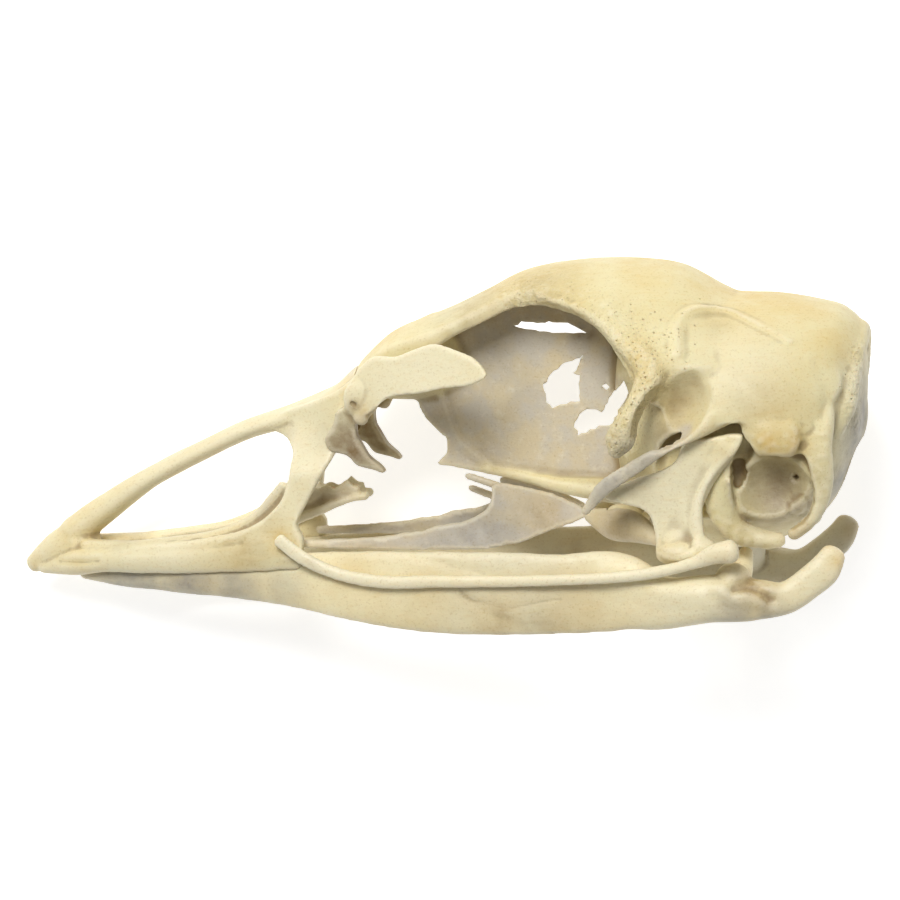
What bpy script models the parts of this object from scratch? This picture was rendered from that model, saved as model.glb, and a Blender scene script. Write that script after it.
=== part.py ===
"""Turkey skull with its lower jaw, life-size, lying on its right side as a loose skull rests on a table.

Every bone is shaped in millimetres in the skull's own frame and then laid in its resting pose:
x runs from the beak (-) to the back of the head (+), y from the left side (-) to the right (+), z up.
A bone is worked as soft clay is: bars, lumps and sheets are fused under one skin, carved, rubbed
smooth and cut clear of the bones that it meets. Right bones are mirror images of the left ones.
"""

import math

import bmesh
import bpy
import numpy as np
from mathutils import Euler, Matrix, Vector

MM = 0.001

# How the skull lies, left side up: the back of the head and the crown are turned a little upwards.
LEAN_BACK = math.radians(7.8)
LEAN_CROWN = math.radians(8.9)

# The gap that bones keep where they meet, and the spacing of the skin that is laid over the clay.
GAP = 0.4
SKIN = 0.5
FINE_SKIN = 0.36

# Triangles that each finished bone keeps.
TRIANGLES = {
    "cranium": 6800,
    "upper_beak": 2400,
    "mandible": 2200,
    "quadrate": 700,
    "lacrimal": 460,
    "palatine": 500,
    "jugal_bar": 320,
    "pterygoid": 180,
    "vomer": 160,
}

BONE_FINISHES = {
    "skull_bone": ((0.79, 0.71, 0.52), 0.55),
    "beak_bone": ((0.80, 0.73, 0.52), 0.50),
    "jaw_bone": ((0.82, 0.76, 0.57), 0.50),
    "thin_bone": ((0.66, 0.61, 0.47), 0.60),
}


def clear_scene():
    for obj in list(bpy.data.objects):
        bpy.data.objects.remove(obj)


def finish(name):
    """The material of one kind of bone."""
    made = bpy.data.materials.get(name)
    if made is None:
        colour, roughness = BONE_FINISHES[name]
        made = bpy.data.materials.new(name)
        made.use_nodes = True
        shader = made.node_tree.nodes["Principled BSDF"]
        shader.inputs["Base Color"].default_value = (*colour, 1.0)
        shader.inputs["Roughness"].default_value = roughness
        shader.inputs["Metallic"].default_value = 0.0
    return made


def smooth_rows(rows, step, slopes=None):
    """Rows of numbers on a smooth curve through the given rows, a step apart along their x, y, z."""
    rows = np.array(rows, float)
    at = np.concatenate([[0], np.cumsum(np.linalg.norm(np.diff(rows[:, :3], axis=0), axis=1))])
    slope = np.gradient(rows, at, axis=0) if slopes is None else slopes(rows, at)
    fine = np.linspace(0, at[-1], max(3, int(at[-1] / step) + 2))
    k = np.clip(np.searchsorted(at, fine, side="right") - 1, 0, len(rows) - 2)
    span = (at[k + 1] - at[k])[:, None]
    u = (fine - at[k])[:, None] / span
    start = (2 * u**3 - 3 * u**2 + 1) * rows[k] + (u**3 - 2 * u**2 + u) * span * slope[k]
    end = (3 * u**2 - 2 * u**3) * rows[k + 1] + (u**3 - u**2) * span * slope[k + 1]
    return start + end


def loop_slopes(rows, at):
    """Slopes of a closed curve whose last row repeats its first."""
    slope = np.gradient(rows, at, axis=0)
    slope[0] = slope[-1] = (rows[1] - rows[-2]) / (at[1] + at[-1] - at[-2])
    return slope


def clay(shape):
    """A new object that holds a bmesh, its faces turned outwards."""
    bmesh.ops.recalc_face_normals(shape, faces=shape.faces)
    mesh = bpy.data.meshes.new("clay")
    shape.to_mesh(mesh)
    shape.free()
    made = bpy.data.objects.new("clay", mesh)
    bpy.context.scene.collection.objects.link(made)
    return made


def bar(rows, side=(0, 1, 0), ends=(None, None), square=2.0, corners=16, upright=False):
    """A round-ended bar. A row is x, y, z, half its width along side, half its depth, and a turn in degrees.

    Its sections stand square to its path, or square to x where upright is set.
    """
    rows = smooth_rows([tuple(row) + (0,) * (6 - len(row)) for row in rows], step=1.0)
    ahead = np.gradient(rows[:, :3], axis=0)
    if upright:
        ahead[:] = (1, 0, 0)
    ahead /= np.linalg.norm(ahead, axis=1)[:, None]
    around = np.linspace(0, math.tau, corners, endpoint=False)
    wide = np.sign(np.cos(around)) * np.abs(np.cos(around)) ** (2 / square)
    deep = np.sign(np.sin(around)) * np.abs(np.sin(around)) ** (2 / square)
    tilts = (84, 65, 45, 25)
    stops = [(0, -tilt) for tilt in tilts] + [(i, 0) for i in range(len(rows))]
    stops += [(len(rows) - 1, tilt) for tilt in reversed(tilts)]
    shape = bmesh.new()
    rings = []
    for i, tilt in stops:
        half_width, half_depth, turn = rows[i, 3:6]
        reach = ends[0 if tilt < 0 else 1] or min(half_width, half_depth)
        share, push = math.cos(math.radians(tilt)), math.sin(math.radians(tilt))
        across = np.array(side, float) - ahead[i] * np.dot(side, ahead[i])
        across /= np.linalg.norm(across)
        up = np.cross(ahead[i], across)
        turn = math.radians(turn)
        across, up = (
            across * math.cos(turn) + up * math.sin(turn),
            up * math.cos(turn) - across * math.sin(turn),
        )
        centre = rows[i, :3] + ahead[i] * push * reach
        ring = centre + share * half_width * np.outer(wide, across)
        ring += share * half_depth * np.outer(deep, up)
        rings.append([shape.verts.new(point) for point in ring])
    for first, second in zip(rings, rings[1:]):
        for k in range(corners):
            after = (k + 1) % corners
            shape.faces.new((first[k], first[after], second[after], second[k]))
    shape.faces.new(rings[0])
    shape.faces.new(rings[-1])
    return clay(shape)


def lump(centre, radii, turn=(0, 0, 0)):
    """An egg-shaped lump, turned by degrees about x, y and z."""
    shape = bmesh.new()
    angles = Euler([math.radians(angle) for angle in turn]).to_matrix().to_4x4()
    place = Matrix.Translation(centre) @ angles @ Matrix.Diagonal((*radii, 1))
    bmesh.ops.create_icosphere(shape, subdivisions=4, radius=1, matrix=place)
    return clay(shape)


def sheet(outline, middle, half):
    """A sheet with a smooth outline of (x, z) points. Its middle lies at the sideways offset middle(x, z)."""
    rows = [(x, 0, z) for x, z in [*outline, outline[0]]]
    ring = smooth_rows(rows, 0.7, loop_slopes)[:-1]
    shape = bmesh.new()
    near, far = (
        [shape.verts.new((x, middle(x, z) + offset, z)) for x, _, z in ring]
        for offset in (-half, half)
    )
    shape.faces.new(near)
    shape.faces.new(far)
    for k in range(len(ring)):
        after = (k + 1) % len(ring)
        shape.faces.new((near[k], near[after], far[after], far[k]))
    return clay(shape)


def midline(x, z):
    """The sideways offset of a sheet that stands on the skull's middle plane."""
    return 0.0


def roof(rows, spread=9):
    """An arched roof along x. A row is x, the height of its crown, its half width, droop and thickness."""
    rows = smooth_rows([(x, 0, crown, half, droop, thick) for x, crown, half, droop, thick in rows], 1.5)
    shape = bmesh.new()
    grid = []
    for x, _, crown, half, droop, thick in rows:
        upper, lower = [], []
        for k in range(spread):
            share = 2 * k / (spread - 1) - 1
            z = crown - droop * share**2
            upper.append(shape.verts.new((x, half * share, z)))
            lower.append(shape.verts.new((x, half * share * 0.97, z - thick)))
        grid.append(upper + lower[::-1])
    for first, second in zip(grid, grid[1:]):
        for k in range(len(first)):
            after = (k + 1) % len(first)
            shape.faces.new((first[k], first[after], second[after], second[k]))
    shape.faces.new(grid[0])
    shape.faces.new(grid[-1])
    return clay(shape)


def mirrored(piece):
    """The mirror image of a piece on the skull's other side."""
    mesh = piece.data.copy()
    mesh.transform(Matrix.Diagonal((1, -1, 1, 1)))
    mesh.flip_normals()
    made = bpy.data.objects.new(piece.name, mesh)
    bpy.context.scene.collection.objects.link(made)
    return made


def both(*pieces):
    """Pieces of the left side, and their mirror images."""
    return [*pieces, *(mirrored(piece) for piece in pieces)]


def settle(piece):
    """Turns what a piece's modifiers make into its own mesh."""
    bpy.context.view_layer.update()
    shaped = piece.evaluated_get(bpy.context.evaluated_depsgraph_get())
    old = piece.data
    piece.data = bpy.data.meshes.new_from_object(shaped)
    piece.modifiers.clear()
    bpy.data.meshes.remove(old)


def remove(pieces):
    for piece in pieces:
        bpy.data.objects.remove(piece)


def joined(pieces):
    """Pieces as one object of several surfaces. The pieces are used up."""
    shape = bmesh.new()
    for piece in pieces:
        shape.from_mesh(piece.data)
    remove(pieces)
    return clay(shape)


def skinned(piece, skin, rubs):
    """Lays one skin over a piece and rubs it smooth."""
    cover = piece.modifiers.new("skin", "REMESH")
    cover.mode = "VOXEL"
    cover.voxel_size = skin
    if rubs:
        rub = piece.modifiers.new("rub", "SMOOTH")
        rub.factor = 0.5
        rub.iterations = rubs
    settle(piece)
    return piece


def carve(piece, cutters):
    """Cuts each closed cutter out of a piece. The cutters are used up."""
    for cutter in cutters:
        cut = piece.modifiers.new("cut", "BOOLEAN")
        cut.operation = "DIFFERENCE"
        cut.solver = "MANIFOLD"
        cut.object = cutter
    settle(piece)
    remove(cutters)


def grown(neighbour, gap):
    """A closed copy of a neighbour, larger by a gap all round."""
    copy = bpy.data.objects.new("room", neighbour.data.copy())
    bpy.context.scene.collection.objects.link(copy)
    swell = copy.modifiers.new("swell", "DISPLACE")
    swell.strength = gap
    swell.mid_level = 0
    settle(copy)
    return skinned(copy, SKIN, 0)


def keep_largest(piece):
    """Drops every closed surface but the largest."""
    shape = bmesh.new()
    shape.from_mesh(piece.data)
    bmesh.ops.remove_doubles(shape, verts=shape.verts, dist=1e-4)
    left = set(shape.faces)
    surfaces = []
    while left:
        surface = {left.pop()}
        edge_of_it = list(surface)
        while edge_of_it:
            face = edge_of_it.pop()
            for edge in face.edges:
                for other in edge.link_faces:
                    if other in left:
                        left.remove(other)
                        surface.add(other)
                        edge_of_it.append(other)
        surfaces.append(surface)
    surfaces.sort(key=lambda surface: sum(face.calc_area() for face in surface))
    scraps = [face for surface in surfaces[:-1] for face in surface]
    bmesh.ops.delete(shape, geom=scraps, context="FACES")
    shape.to_mesh(piece.data)
    shape.free()


def closed(mesh):
    """Whether each edge of a mesh lies between two faces."""
    sides = np.bincount([loop.edge_index for loop in mesh.loops], minlength=len(mesh.edges))
    return bool((sides == 2).all())


def thin_out(piece, most):
    """Thins a bone out to so many triangles, or to a few less where only that keeps its surface closed."""
    full = piece.data
    triangles = sum(len(face.vertices) - 2 for face in full.polygons)
    for share in (1, 0.98, 0.96, 0.94, 0.92, 0.90):
        piece.data = full.copy()
        fewer = piece.modifiers.new("fewer", "DECIMATE")
        fewer.ratio = min(1.0, share * most / triangles)
        settle(piece)
        keep_largest(piece)
        if closed(piece.data):
            break


def bone(name, pieces, budget, material, cutters=(), neighbours=(), skin=SKIN, rubs=3):
    """One bone: its pieces fused, carved, rubbed, cut clear of its neighbours and thinned out."""
    made = skinned(joined(pieces), skin, rubs)
    if cutters:
        carve(made, list(cutters))
        skinned(made, skin, rubs)
    carve(made, [grown(neighbour, GAP) for neighbour in neighbours])
    keep_largest(made)
    thin_out(made, TRIANGLES[budget])
    made.name = made.data.name = name
    made.data.materials.clear()
    made.data.materials.append(finish(material))
    return made


def right_of(left):
    """The right-hand bone of a left-hand one."""
    made = mirrored(left)
    made.name = made.data.name = left.name.replace("_left", "_right")
    return made


def plate_bulge(x, z):
    """The sideways offset of the plate at the temple, just proud of the braincase under it."""
    return -15.4 + 0.0168 * max(0.0, z - 5) ** 2.4 + 0.028 * (x - 35.5) ** 2


def slanted(cutter):
    """The same cutter, leaning back and up on its way in, like the break that it cuts."""
    cutter.data.transform(Matrix(((1, -0.14, 0, 0), (0, 1, 0, 0), (0, -0.12, 1, 0), (0, 0, 0, 1))))
    return cutter


def cranium():
    braincase = bar(
        [
            (23.5, 0, 6.4, 10.5, 13.0),
            (28, 0, 6.0, 15.2, 14.4),
            (34, 0, 5.2, 16.0, 14.4),
            (41, 0, 5.1, 15.2, 14.2),
            (44.4, 0, 5.8, 14.1, 12.95),
            (46.8, 0, 7.1, 12.2, 11.1),
            (48.7, 0, 8.9, 9.4, 8.0),
        ],
        ends=(3.5, 1.2),
        square=2.15,
        corners=32,
        upright=True,
    )
    vault = roof(
        [
            (-10.8, 10.6, 5.6, 1.0, 2.2),
            (-7, 14.2, 6.6, 1.4, 2.6),
            (-2, 16.35, 7.8, 1.8, 2.4),
            (4, 19.15, 7.2, 1.8, 2.0),
            (9, 21.85, 7.4, 2.2, 2.0),
            (15, 23.1, 9.4, 3.2, 2.6),
            (20, 23.5, 12.8, 5.6, 3.2),
            (24, 23.4, 15.4, 9.4, 5.2),
            (27.6, 22.9, 16.0, 10.4, 6.6),
            (32.6, 20.45, 15.2, 8.4, 6.6),
            (37, 18.2, 13.0, 6.6, 5.6),
        ]
    )
    base = lump((34, 0, -4.5), (10.5, 9.5, 6.4))
    nape = lump((39.6, 0, -0.6), (8.2, 10.0, 7.0))
    forehead = bar([(-9, 0, 8.4, 5.0, 2.4), (-5, 0, 10.0, 3.0, 4.2), (0, 0, 12.4, 1.2, 4.8)])
    hindbrain = lump((45.8, 0, 5.4), (4.3, 4.2, 6.2))
    shell = skinned(joined([braincase, vault, base, nape, hindbrain, forehead]), SKIN, 1)
    orbit = lump((9.2, -13.6, 5.4), (15.0, 13.0, 13.2))
    quadrate_bay = lump((28.5, -18.6, -4.6), (7.5, 9.4, 6.8), (0, 0, -12))
    quadrate_seat = sheet(
        [(27.6, -8), (27.6, 3.6), (31, 5.0), (37.2, 5.2), (37.6, 2.0), (34.2, -2), (33.2, -8)],
        lambda x, z: -15.4,
        half=4.2,
    )
    carve(shell, both(orbit, quadrate_bay, quadrate_seat))

    septum = sheet(
        [
            (-5.5, 13.5), (-4.8, 9.5), (-4.2, 6.6), (-2.7, 3.6), (-0.4, 1.4), (-0.3, -0.2),
            (-1.8, -1.6), (3.6, -2.2), (12.1, -4.0), (18, -4.6), (24, -4), (24, 16), (15, 20.5),
            (7, 19), (0, 16),
        ],
        midline,
        half=0.5,
    )
    rostrum = bar(
        [
            (0.6, 0, -1.7, 0.5, 0.4),
            (7.3, 0, -2.65, 0.8, 0.65),
            (14, 0, -4.0, 1.4, 1.1),
            (20, 0, -4.6, 2.4, 1.5),
            (27, 0, -5.4, 5, 2.6),
        ]
    )
    orbit_rim = bar(
        [
            (12, -7.6, 19.4, 0.9, 0.6),
            (17.5, -10.4, 17.9, 1.2, 0.7),
            (22, -13.2, 14.9, 1.6, 1.2),
            (25.6, -15.9, 11.0, 1.5, 1.75),
            (24.2, -17.5, 7.6, 1.4, 1.4),
            (22.9, -17.8, 4.9, 1.4, 1.7),
            (22.2, -17.4, 3.4, 1.3, 1.75),
            (21.8, -16.9, 2.3, 0.9, 1.1),
        ]
    )
    ribbon = bar(
        [
            (34, -14.9, 7.0, 1.5, 1.9),
            (30.6, -16.2, 4.6, 0.8, 1.2),
            (27.3, -16.9, 2.6, 0.6, 0.75),
            (25, -17, 1.1, 0.6, 0.95),
            (22.6, -16.6, -0.5, 0.6, 1.0),
            (20.2, -16, -2.3, 0.6, 1.0),
            (18, -15.1, -5.2, 0.5, 0.6),
        ]
    )
    plate = sheet(
        [
            (29.6, 12.5), (28.8, 15.6), (30.6, 17.2), (33.4, 17.2), (38, 15.6), (42.4, 13.6),
            (46.4, 12.4), (47.6, 10.2), (46.2, 7.2), (44.2, 4.4), (41.9, 3.0), (39.2, 3.6),
            (36.8, 5.6), (33.2, 5.4), (30.6, 6.6), (30.4, 9.4),
        ],
        plate_bulge,
        half=1.2,
    )
    arch = bar(
        [
            (28.6, -13.7, 13.4, 0.5, 0.9),
            (28.4, -11.9, 16.2, 0.5, 0.9),
            (30.2, -9.9, 18.0, 0.5, 0.9),
            (33.4, -9.6, 17.8, 0.5, 0.9),
            (37.4, -10.4, 16.2, 0.5, 0.9),
            (41.4, -11.4, 14.4, 0.4, 0.8),
        ]
    )
    knob = bar(
        [(37.6, -15.5, 5.9, 0.9, 1.7), (39.6, -15.5, 5.3, 1.3, 2.4), (42.2, -14.9, 5.1, 1.2, 2.4)]
    )
    column = bar(
        [
            (44.6, -11.2, 9.6, 1.0, 1.6),
            (45.0, -12.9, 6.2, 1.2, 1.9),
            (45.0, -13.6, 2.8, 1.2, 1.75),
            (45.4, -13.6, -1.2, 1.1, 1.5),
            (45.0, -13.4, -3.8, 1.0, 1.3),
            (43.6, -13.2, -6.2, 0.9, 1.1),
            (42.2, -12.9, -7.6, 0.7, 0.8),
        ],
        square=2.8,
    )
    crest = bar(
        [
            (48.8, 0, 15.2, 1.5, 1.4),
            (48.7, -4.0, 14.1, 1.5, 1.4),
            (48.3, -7.4, 12.0, 1.6, 1.3),
            (47.9, -9.3, 9.4, 1.7, 1.4),
            (47.5, -10.2, 7.0, 1.6, 1.3),
            (46.4, -10.6, 4.4, 1.4, 1.2),
        ],
        side=(1, 0, 0),
    )
    ear_rim = bar(
        [
            (35.6, -13.4, 3.0, 1.0, 1.1),
            (34.0, -12.8, -0.6, 1.2, 1.7),
            (33.5, -12.2, -4.4, 1.2, 1.7),
            (35.2, -11.6, -7.4, 1.2, 1.5),
            (38.2, -11.4, -8.4, 1.2, 1.2),
            (40.4, -11.6, -8.5, 0.9, 0.9),
        ]
    )
    condyle = lump((43.2, 0, -7.0), (1.6, 1.9, 1.4))
    basal_knob = lump((21.6, -4.4, -7.4), (2.6, 1.7, 1.9), (0, 20, 25))
    additions = [
        septum, rostrum, condyle,
        *both(basal_knob, orbit_rim, ribbon, plate, arch, knob, column, crest, ear_rim),
    ]

    ear = sheet(
        [
            (35.9, 3.2), (37.8, 4.2), (41.0, 3.4), (43.6, 3.4), (44.0, 0.6), (44.2, -2.4), (43.2, -5.2),
            (41.6, -6.9), (39.6, -7.5), (37.4, -7.4), (35.7, -5.8), (35.0, -3.2), (35.0, 0.2),
        ],
        lambda x, z: -17.0 - 0.10 * (x - 39),
        half=4.7,
    )
    ear_bowl = lump((39.8, -14.6, -2.2), (4.6, 4.9, 5.6))
    temple = lump((28.5, -19.2, 8.3), (2.9, 5.4, 5.0), (0, 20, 0))
    foramen = lump((50.2, 0, -1.8), (8.5, 3.7, 3.5), (0, 20, 0))
    slit = sheet(
        [(8.6, 15.0), (9.8, 15.6), (14.4, 15.7), (16.4, 14.5), (13.6, 14.2), (10.2, 14.4)],
        midline,
        2,
    )
    window = sheet(
        [(11.2, 9.0), (12.6, 10.6), (16.1, 11.6), (15.5, 8.6), (15.8, 6.8), (13.3, 5.3), (11.7, 6.4)],
        midline,
        2,
    )
    rear_window = sheet(
        [
            (15.0, 2.0), (15.6, 4.2), (18.0, 5.2), (19.8, 8.2), (21.8, 9.5), (21.9, 7.4),
            (20.6, 5.0), (18.8, 3.0), (16.8, 2.4),
        ],
        midline,
        8,
    )
    cuts = [*both(ear, ear_bowl, temple), slanted(slit), slanted(window), slanted(rear_window), foramen]
    return bone("cranium", [shell, *additions], "cranium", "skull_bone", cuts, rubs=2, skin=FINE_SKIN)


def nasal_lean(x, z):
    """The sideways offset of the bar behind the nostril, which leans in to meet the top of the beak."""
    below = -7.6 + 0.08 * z - 0.16 * min(0, x + 17)
    above = np.interp(x, (-22, -19, -16, -12, -10), (-1.4, -3.0, -4.8, -6.2, -5.8))
    share = min(1.0, max(0.0, z - 0.6) / 3.4)
    return float(below + (above - below) * share**2 * (3 - 2 * share))


def nasal_bar(narrowed):
    """The left bar behind the nostril. At its narrowest its rear edge lies narrowed mm further forward."""
    front = [
        (-20, -12.4), (-25, -12), (-27, -10.7), (-23.8, -9.2), (-20.8, -7.2), (-19.2, -5.4),
        (-18.4, -3.4), (-18.1, -1.4), (-18, 0.2), (-18.5, 1.7), (-21.8, 1.8),
    ]
    rear = [(-11.9, 4.6), (-11.7, 2.6), (-13.0, -0.1), (-14.6, -2.8), (-16.1, -5.8), (-17.2, -8.4)]
    rear = [(x - narrowed * math.exp(-((z + 1) / 5) ** 2), z) for x, z in rear]
    top = [(-22, 3.8), (-16, 6.2), (-12.4, 7.8), (-9.8, 10.0), (-11.0, 7.2)]
    return sheet([*top, *rear, (-16.4, -9.8), (-16.6, -11.6), *front], nasal_lean, half=0.85)


def upper_beak(cranium_bone):
    tip = bar([(-51.1, 0, -14.75, 0.9, 1.2), (-48.6, 0, -13.4, 2.1, 2.25), (-45.6, 0, -12.1, 2.8, 3.0)])
    culmen = bar(
        [
            (-46, 0, -10.8, 2.6, 1.95),
            (-41.6, 0, -7.4, 2.6, 1.7),
            (-36.7, 0, -4.05, 2.5, 1.28),
            (-30.5, 0, -0.7, 2.5, 1.18),
            (-24.4, 0, 2.2, 2.8, 1.2),
            (-19.4, 0, 3.85, 3.9, 1.35),
            (-15.8, 0, 5.2, 5.2, 1.45),
            (-12.9, 0, 6.6, 6.4, 1.5),
            (-10.5, 0, 8.6, 5.2, 1.6),
        ]
    )
    palate = bar(
        [
            (-48, 0, -14.0, 1.6, 0.8),
            (-44, 0, -13.4, 3.2, 0.8),
            (-40, 0, -13.0, 4.0, 0.7),
            (-36, 0, -12.6, 4.4, 0.6),
        ]
    )
    edge = bar(
        [
            (-49.6, -0.9, -15.1, 0.8, 0.8),
            (-45, -2.6, -14.1, 1.2, 1.6),
            (-41, -3.7, -13.6, 1.3, 1.5),
            (-36, -5.0, -13.15, 1.2, 1.85),
            (-31, -6.0, -12.75, 1.0, 2.0),
            (-25, -7.2, -11.9, 0.9, 2.4),
            (-20.5, -8.0, -11.3, 0.9, 2.7),
            (-17.0, -8.5, -12.4, 0.7, 1.3),
        ]
    )
    shelf = bar(
        [
            (-44, -2.2, -12.0, 1.0, 0.7),
            (-37.5, -3.9, -11.8, 1.0, 0.7),
            (-32.6, -4.4, -11.1, 0.9, 0.7),
            (-27.3, -5.0, -10.1, 0.8, 0.7),
            (-24.2, -5.6, -8.8, 0.7, 0.7),
            (-22.3, -6.1, -7.5, 0.6, 0.7),
            (-20.6, -6.6, -5.6, 0.5, 0.7),
        ]
    )
    narrow = nasal_bar(2.0)
    nasals = [nasal_bar(0), mirrored(narrow)]
    remove([narrow])
    spoon = bar(
        [
            (-21, -7.2, -9.4, 0.7, 1.2),
            (-18.4, -5.6, -8.2, 0.6, 0.8),
            (-15.8, -3.4, -7.4, 0.6, 0.6),
            (-13.1, -2.2, -6.3, 0.6, 0.6),
            (-10.1, -1.8, -5.5, 0.7, 0.6),
        ]
    )
    frill = sheet(
        [
            (-19.6, -5.0), (-15.2, -4.4), (-13.5, -4.6), (-12.1, -3.7), (-10.6, -4.3), (-12.3, -5.4),
            (-13.5, -6.2), (-15.6, -7.2), (-18.4, -8.6), (-20, -8.6),
        ],
        lambda x, z: -1.7 + 0.9 * min(0.0, x + 15),
        half=0.5,
    )
    pieces = [tip, culmen, palate, *both(edge, shelf, spoon, frill), *nasals]
    return bone("upper_beak", pieces, "upper_beak", "beak_bone", neighbours=[cranium_bone], skin=FINE_SKIN)


def lacrimal(cranium_bone, beak):
    wing = sheet(
        [
            (-10.4, 9.6), (-8, 12.0), (-5.1, 12.2), (-2.6, 13.2), (-0.3, 13.9), (2.2, 13.4),
            (5.4, 12.0), (6.4, 10.7), (4.6, 9.5), (1.5, 8.9), (-2, 8.1), (-6.3, 7.1), (-8.0, 5.6),
            (-9.6, 4.9), (-11.4, 7.2),
        ],
        lambda x, z: -13.6 - 0.39 * x + 0.16 * z,
        half=0.5,
    )
    stub = lump((-9.4, -8.6, 7.0), (2.4, 1.2, 2.6))
    hook = sheet(
        [
            (-12.3, 5.6), (-13.0, 3.6), (-14.0, 1.7), (-13.2, 0.5), (-11.6, 0.2), (-10.4, -1.0),
            (-8.3, -1.6), (-6.6, -2.1), (-8.5, -0.1), (-9.6, 1.6), (-10.1, 3.6), (-10.1, 5.6),
        ],
        lambda x, z: -7.2 + 0.1 * (4 - z),
        half=1.1,
    )
    return bone("lacrimal_left", [wing, stub, hook], "lacrimal", "skull_bone",
                neighbours=[cranium_bone, beak], skin=FINE_SKIN, rubs=2)


def quadrate(cranium_bone):
    body = sheet(
        [
            (36.4, 4.2), (33.1, 3.9), (29.3, 2.8), (28.6, 1.0), (26.8, -0.2), (24.2, -1.1), (22.4, -1.9),
            (20.4, -2.0), (20.0, -3.4), (22.6, -4.3), (25.2, -5.2), (26.2, -8.0), (26.4, -10.6),
            (30.2, -11.2), (32, -9.7), (31.8, -6.5), (31.8, -3.5), (33.6, 0.1), (35.6, 2.2),
        ],
        lambda x, z: -10.8 - 0.115 * x,
        half=0.8,
    )
    stem = bar(
        [
            (34.3, -14.7, 2.8, 1.1, 1.5),
            (31.4, -14.2, -1.2, 0.9, 1.7),
            (29.3, -13.8, -5.2, 0.9, 2.2),
            (29.0, -14.0, -8.8, 1.3, 2.5),
        ]
    )
    foot = lump((29.9, -13.6, -9.8), (3.7, 3.0, 1.7))
    heel = lump((31.8, -15.0, -9.3), (1.7, 1.3, 1.4))
    return bone("quadrate_left", [body, stem, foot, heel], "quadrate", "skull_bone",
                neighbours=[cranium_bone], skin=FINE_SKIN, rubs=2)


def mandible(beak, quadrate_left, quadrate_right):
    ramus = bar(
        [
            (-44.4, -0.8, -15.6, 1.1, 0.8),
            (-41, -1.6, -15.65, 1.5, 1.25),
            (-36.5, -3.0, -15.5, 1.3, 1.65),
            (-32, -4.5, -15.4, 1.0, 1.95),
            (-24.5, -6.0, -15.2, 1.0, 2.5),
            (-17, -7.6, -15.1, 1.0, 3.4),
            (-9.5, -9.2, -15.4, 1.0, 4.3),
            (-3.2, -10.3, -15.65, 1.0, 4.75),
            (7.6, -11.7, -15.5, 1.0, 5.0),
            (15, -12.4, -15.3, 1.1, 4.75),
            (22.4, -13, -14.9, 1.3, 4.6),
            (27, -13.4, -15.9, 1.9, 3.25),
            (33, -13.8, -15.25, 2.8, 2.8),
            (38, -13.8, -15.3, 2.2, 2.45),
            (41.3, -13.6, -15.05, 1.6, 1.95),
            (44.1, -13.5, -13.2, 1.3, 1.9),
            (46.0, -13.5, -11.5, 1.2, 1.9),
            (46.95, -13.4, -9.8, 0.95, 1.5),
        ],
        square=2.7,
    )
    cup = lump((35.2, -13.4, -13.2), (2.2, 2.4, 2.2))
    inner_arm = bar(
        [(35.4, -12, -14.4, 1.6, 1.5), (36.0, -9.4, -12.4, 1.3, 1.2), (36.2, -7.2, -10.8, 0.9, 0.8)],
        side=(1, 0, 0),
    )
    return bone("mandible", both(ramus, cup, inner_arm), "mandible", "jaw_bone",
                neighbours=[beak, quadrate_left, quadrate_right])


def jugal_bar(beak, quadrate_left, jaw):
    rod = bar(
        [
            (-19.2, -10.0, -9.8, 0.4, 0.5),
            (-16.5, -10.1, -11.8, 0.5, 0.8),
            (-13, -10.4, -13.4, 0.5, 0.85),
            (-6.8, -11.5, -14.4, 0.5, 0.85),
            (0, -12.5, -14.1, 0.5, 0.8),
            (7.8, -13.4, -13.8, 0.5, 0.75),
            (15, -14.6, -13.3, 0.5, 0.7),
            (20, -15.2, -12.9, 0.55, 0.7),
            (25.7, -16.0, -12.1, 0.6, 0.75),
            (31.5, -17.0, -10.4, 0.7, 0.85),
            (33.6, -17.5, -9.4, 0.9, 1.25),
            (35.3, -17.6, -9.1, 1.0, 1.45),
        ]
    )
    return bone("jugal_bar_left", [rod], "jugal_bar", "jaw_bone",
                neighbours=[beak, quadrate_left, jaw], skin=FINE_SKIN, rubs=1)


def palatine(cranium_bone, beak, quadrate_left, jaw):
    blade = sheet(
        [
            (-17.4, -10.4), (-12, -10.0), (-6.5, -9.5), (-0.5, -8.3), (3.8, -7.2), (5.8, -5.6), (6.2, -3.5),
            (9, -3.9), (12.5, -4.7), (16.4, -6.4), (16.9, -7.8), (16.6, -9.0), (14.6, -9.2),
            (9.3, -10.3), (5, -10.9), (-1, -11.1), (-8, -11.2), (-17.4, -11.3),
        ],
        lambda x, z: float(np.interp(x, (-17, 0, 5, 17), (-6, -6.9, -6.4, -2.6))) + 0.12 * (z + 8),
        half=0.5,
    )
    return bone("palatine_left", [blade], "palatine", "thin_bone",
                neighbours=[cranium_bone, beak, quadrate_left, jaw], skin=FINE_SKIN, rubs=1)


def pterygoid(neighbours):
    rod = bar(
        [
            (17.4, -3.0, -7.2, 0.9, 0.9),
            (20, -5.2, -7.8, 1.9, 1.3),
            (23, -7.8, -7.8, 1.9, 1.3),
            (26.0, -10.4, -8.8, 0.9, 0.9),
        ],
        side=(0, 0, 1),
    )
    return bone("pterygoid_left", [rod], "pterygoid", "thin_bone", neighbours=neighbours,
                skin=FINE_SKIN, rubs=1)


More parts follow.
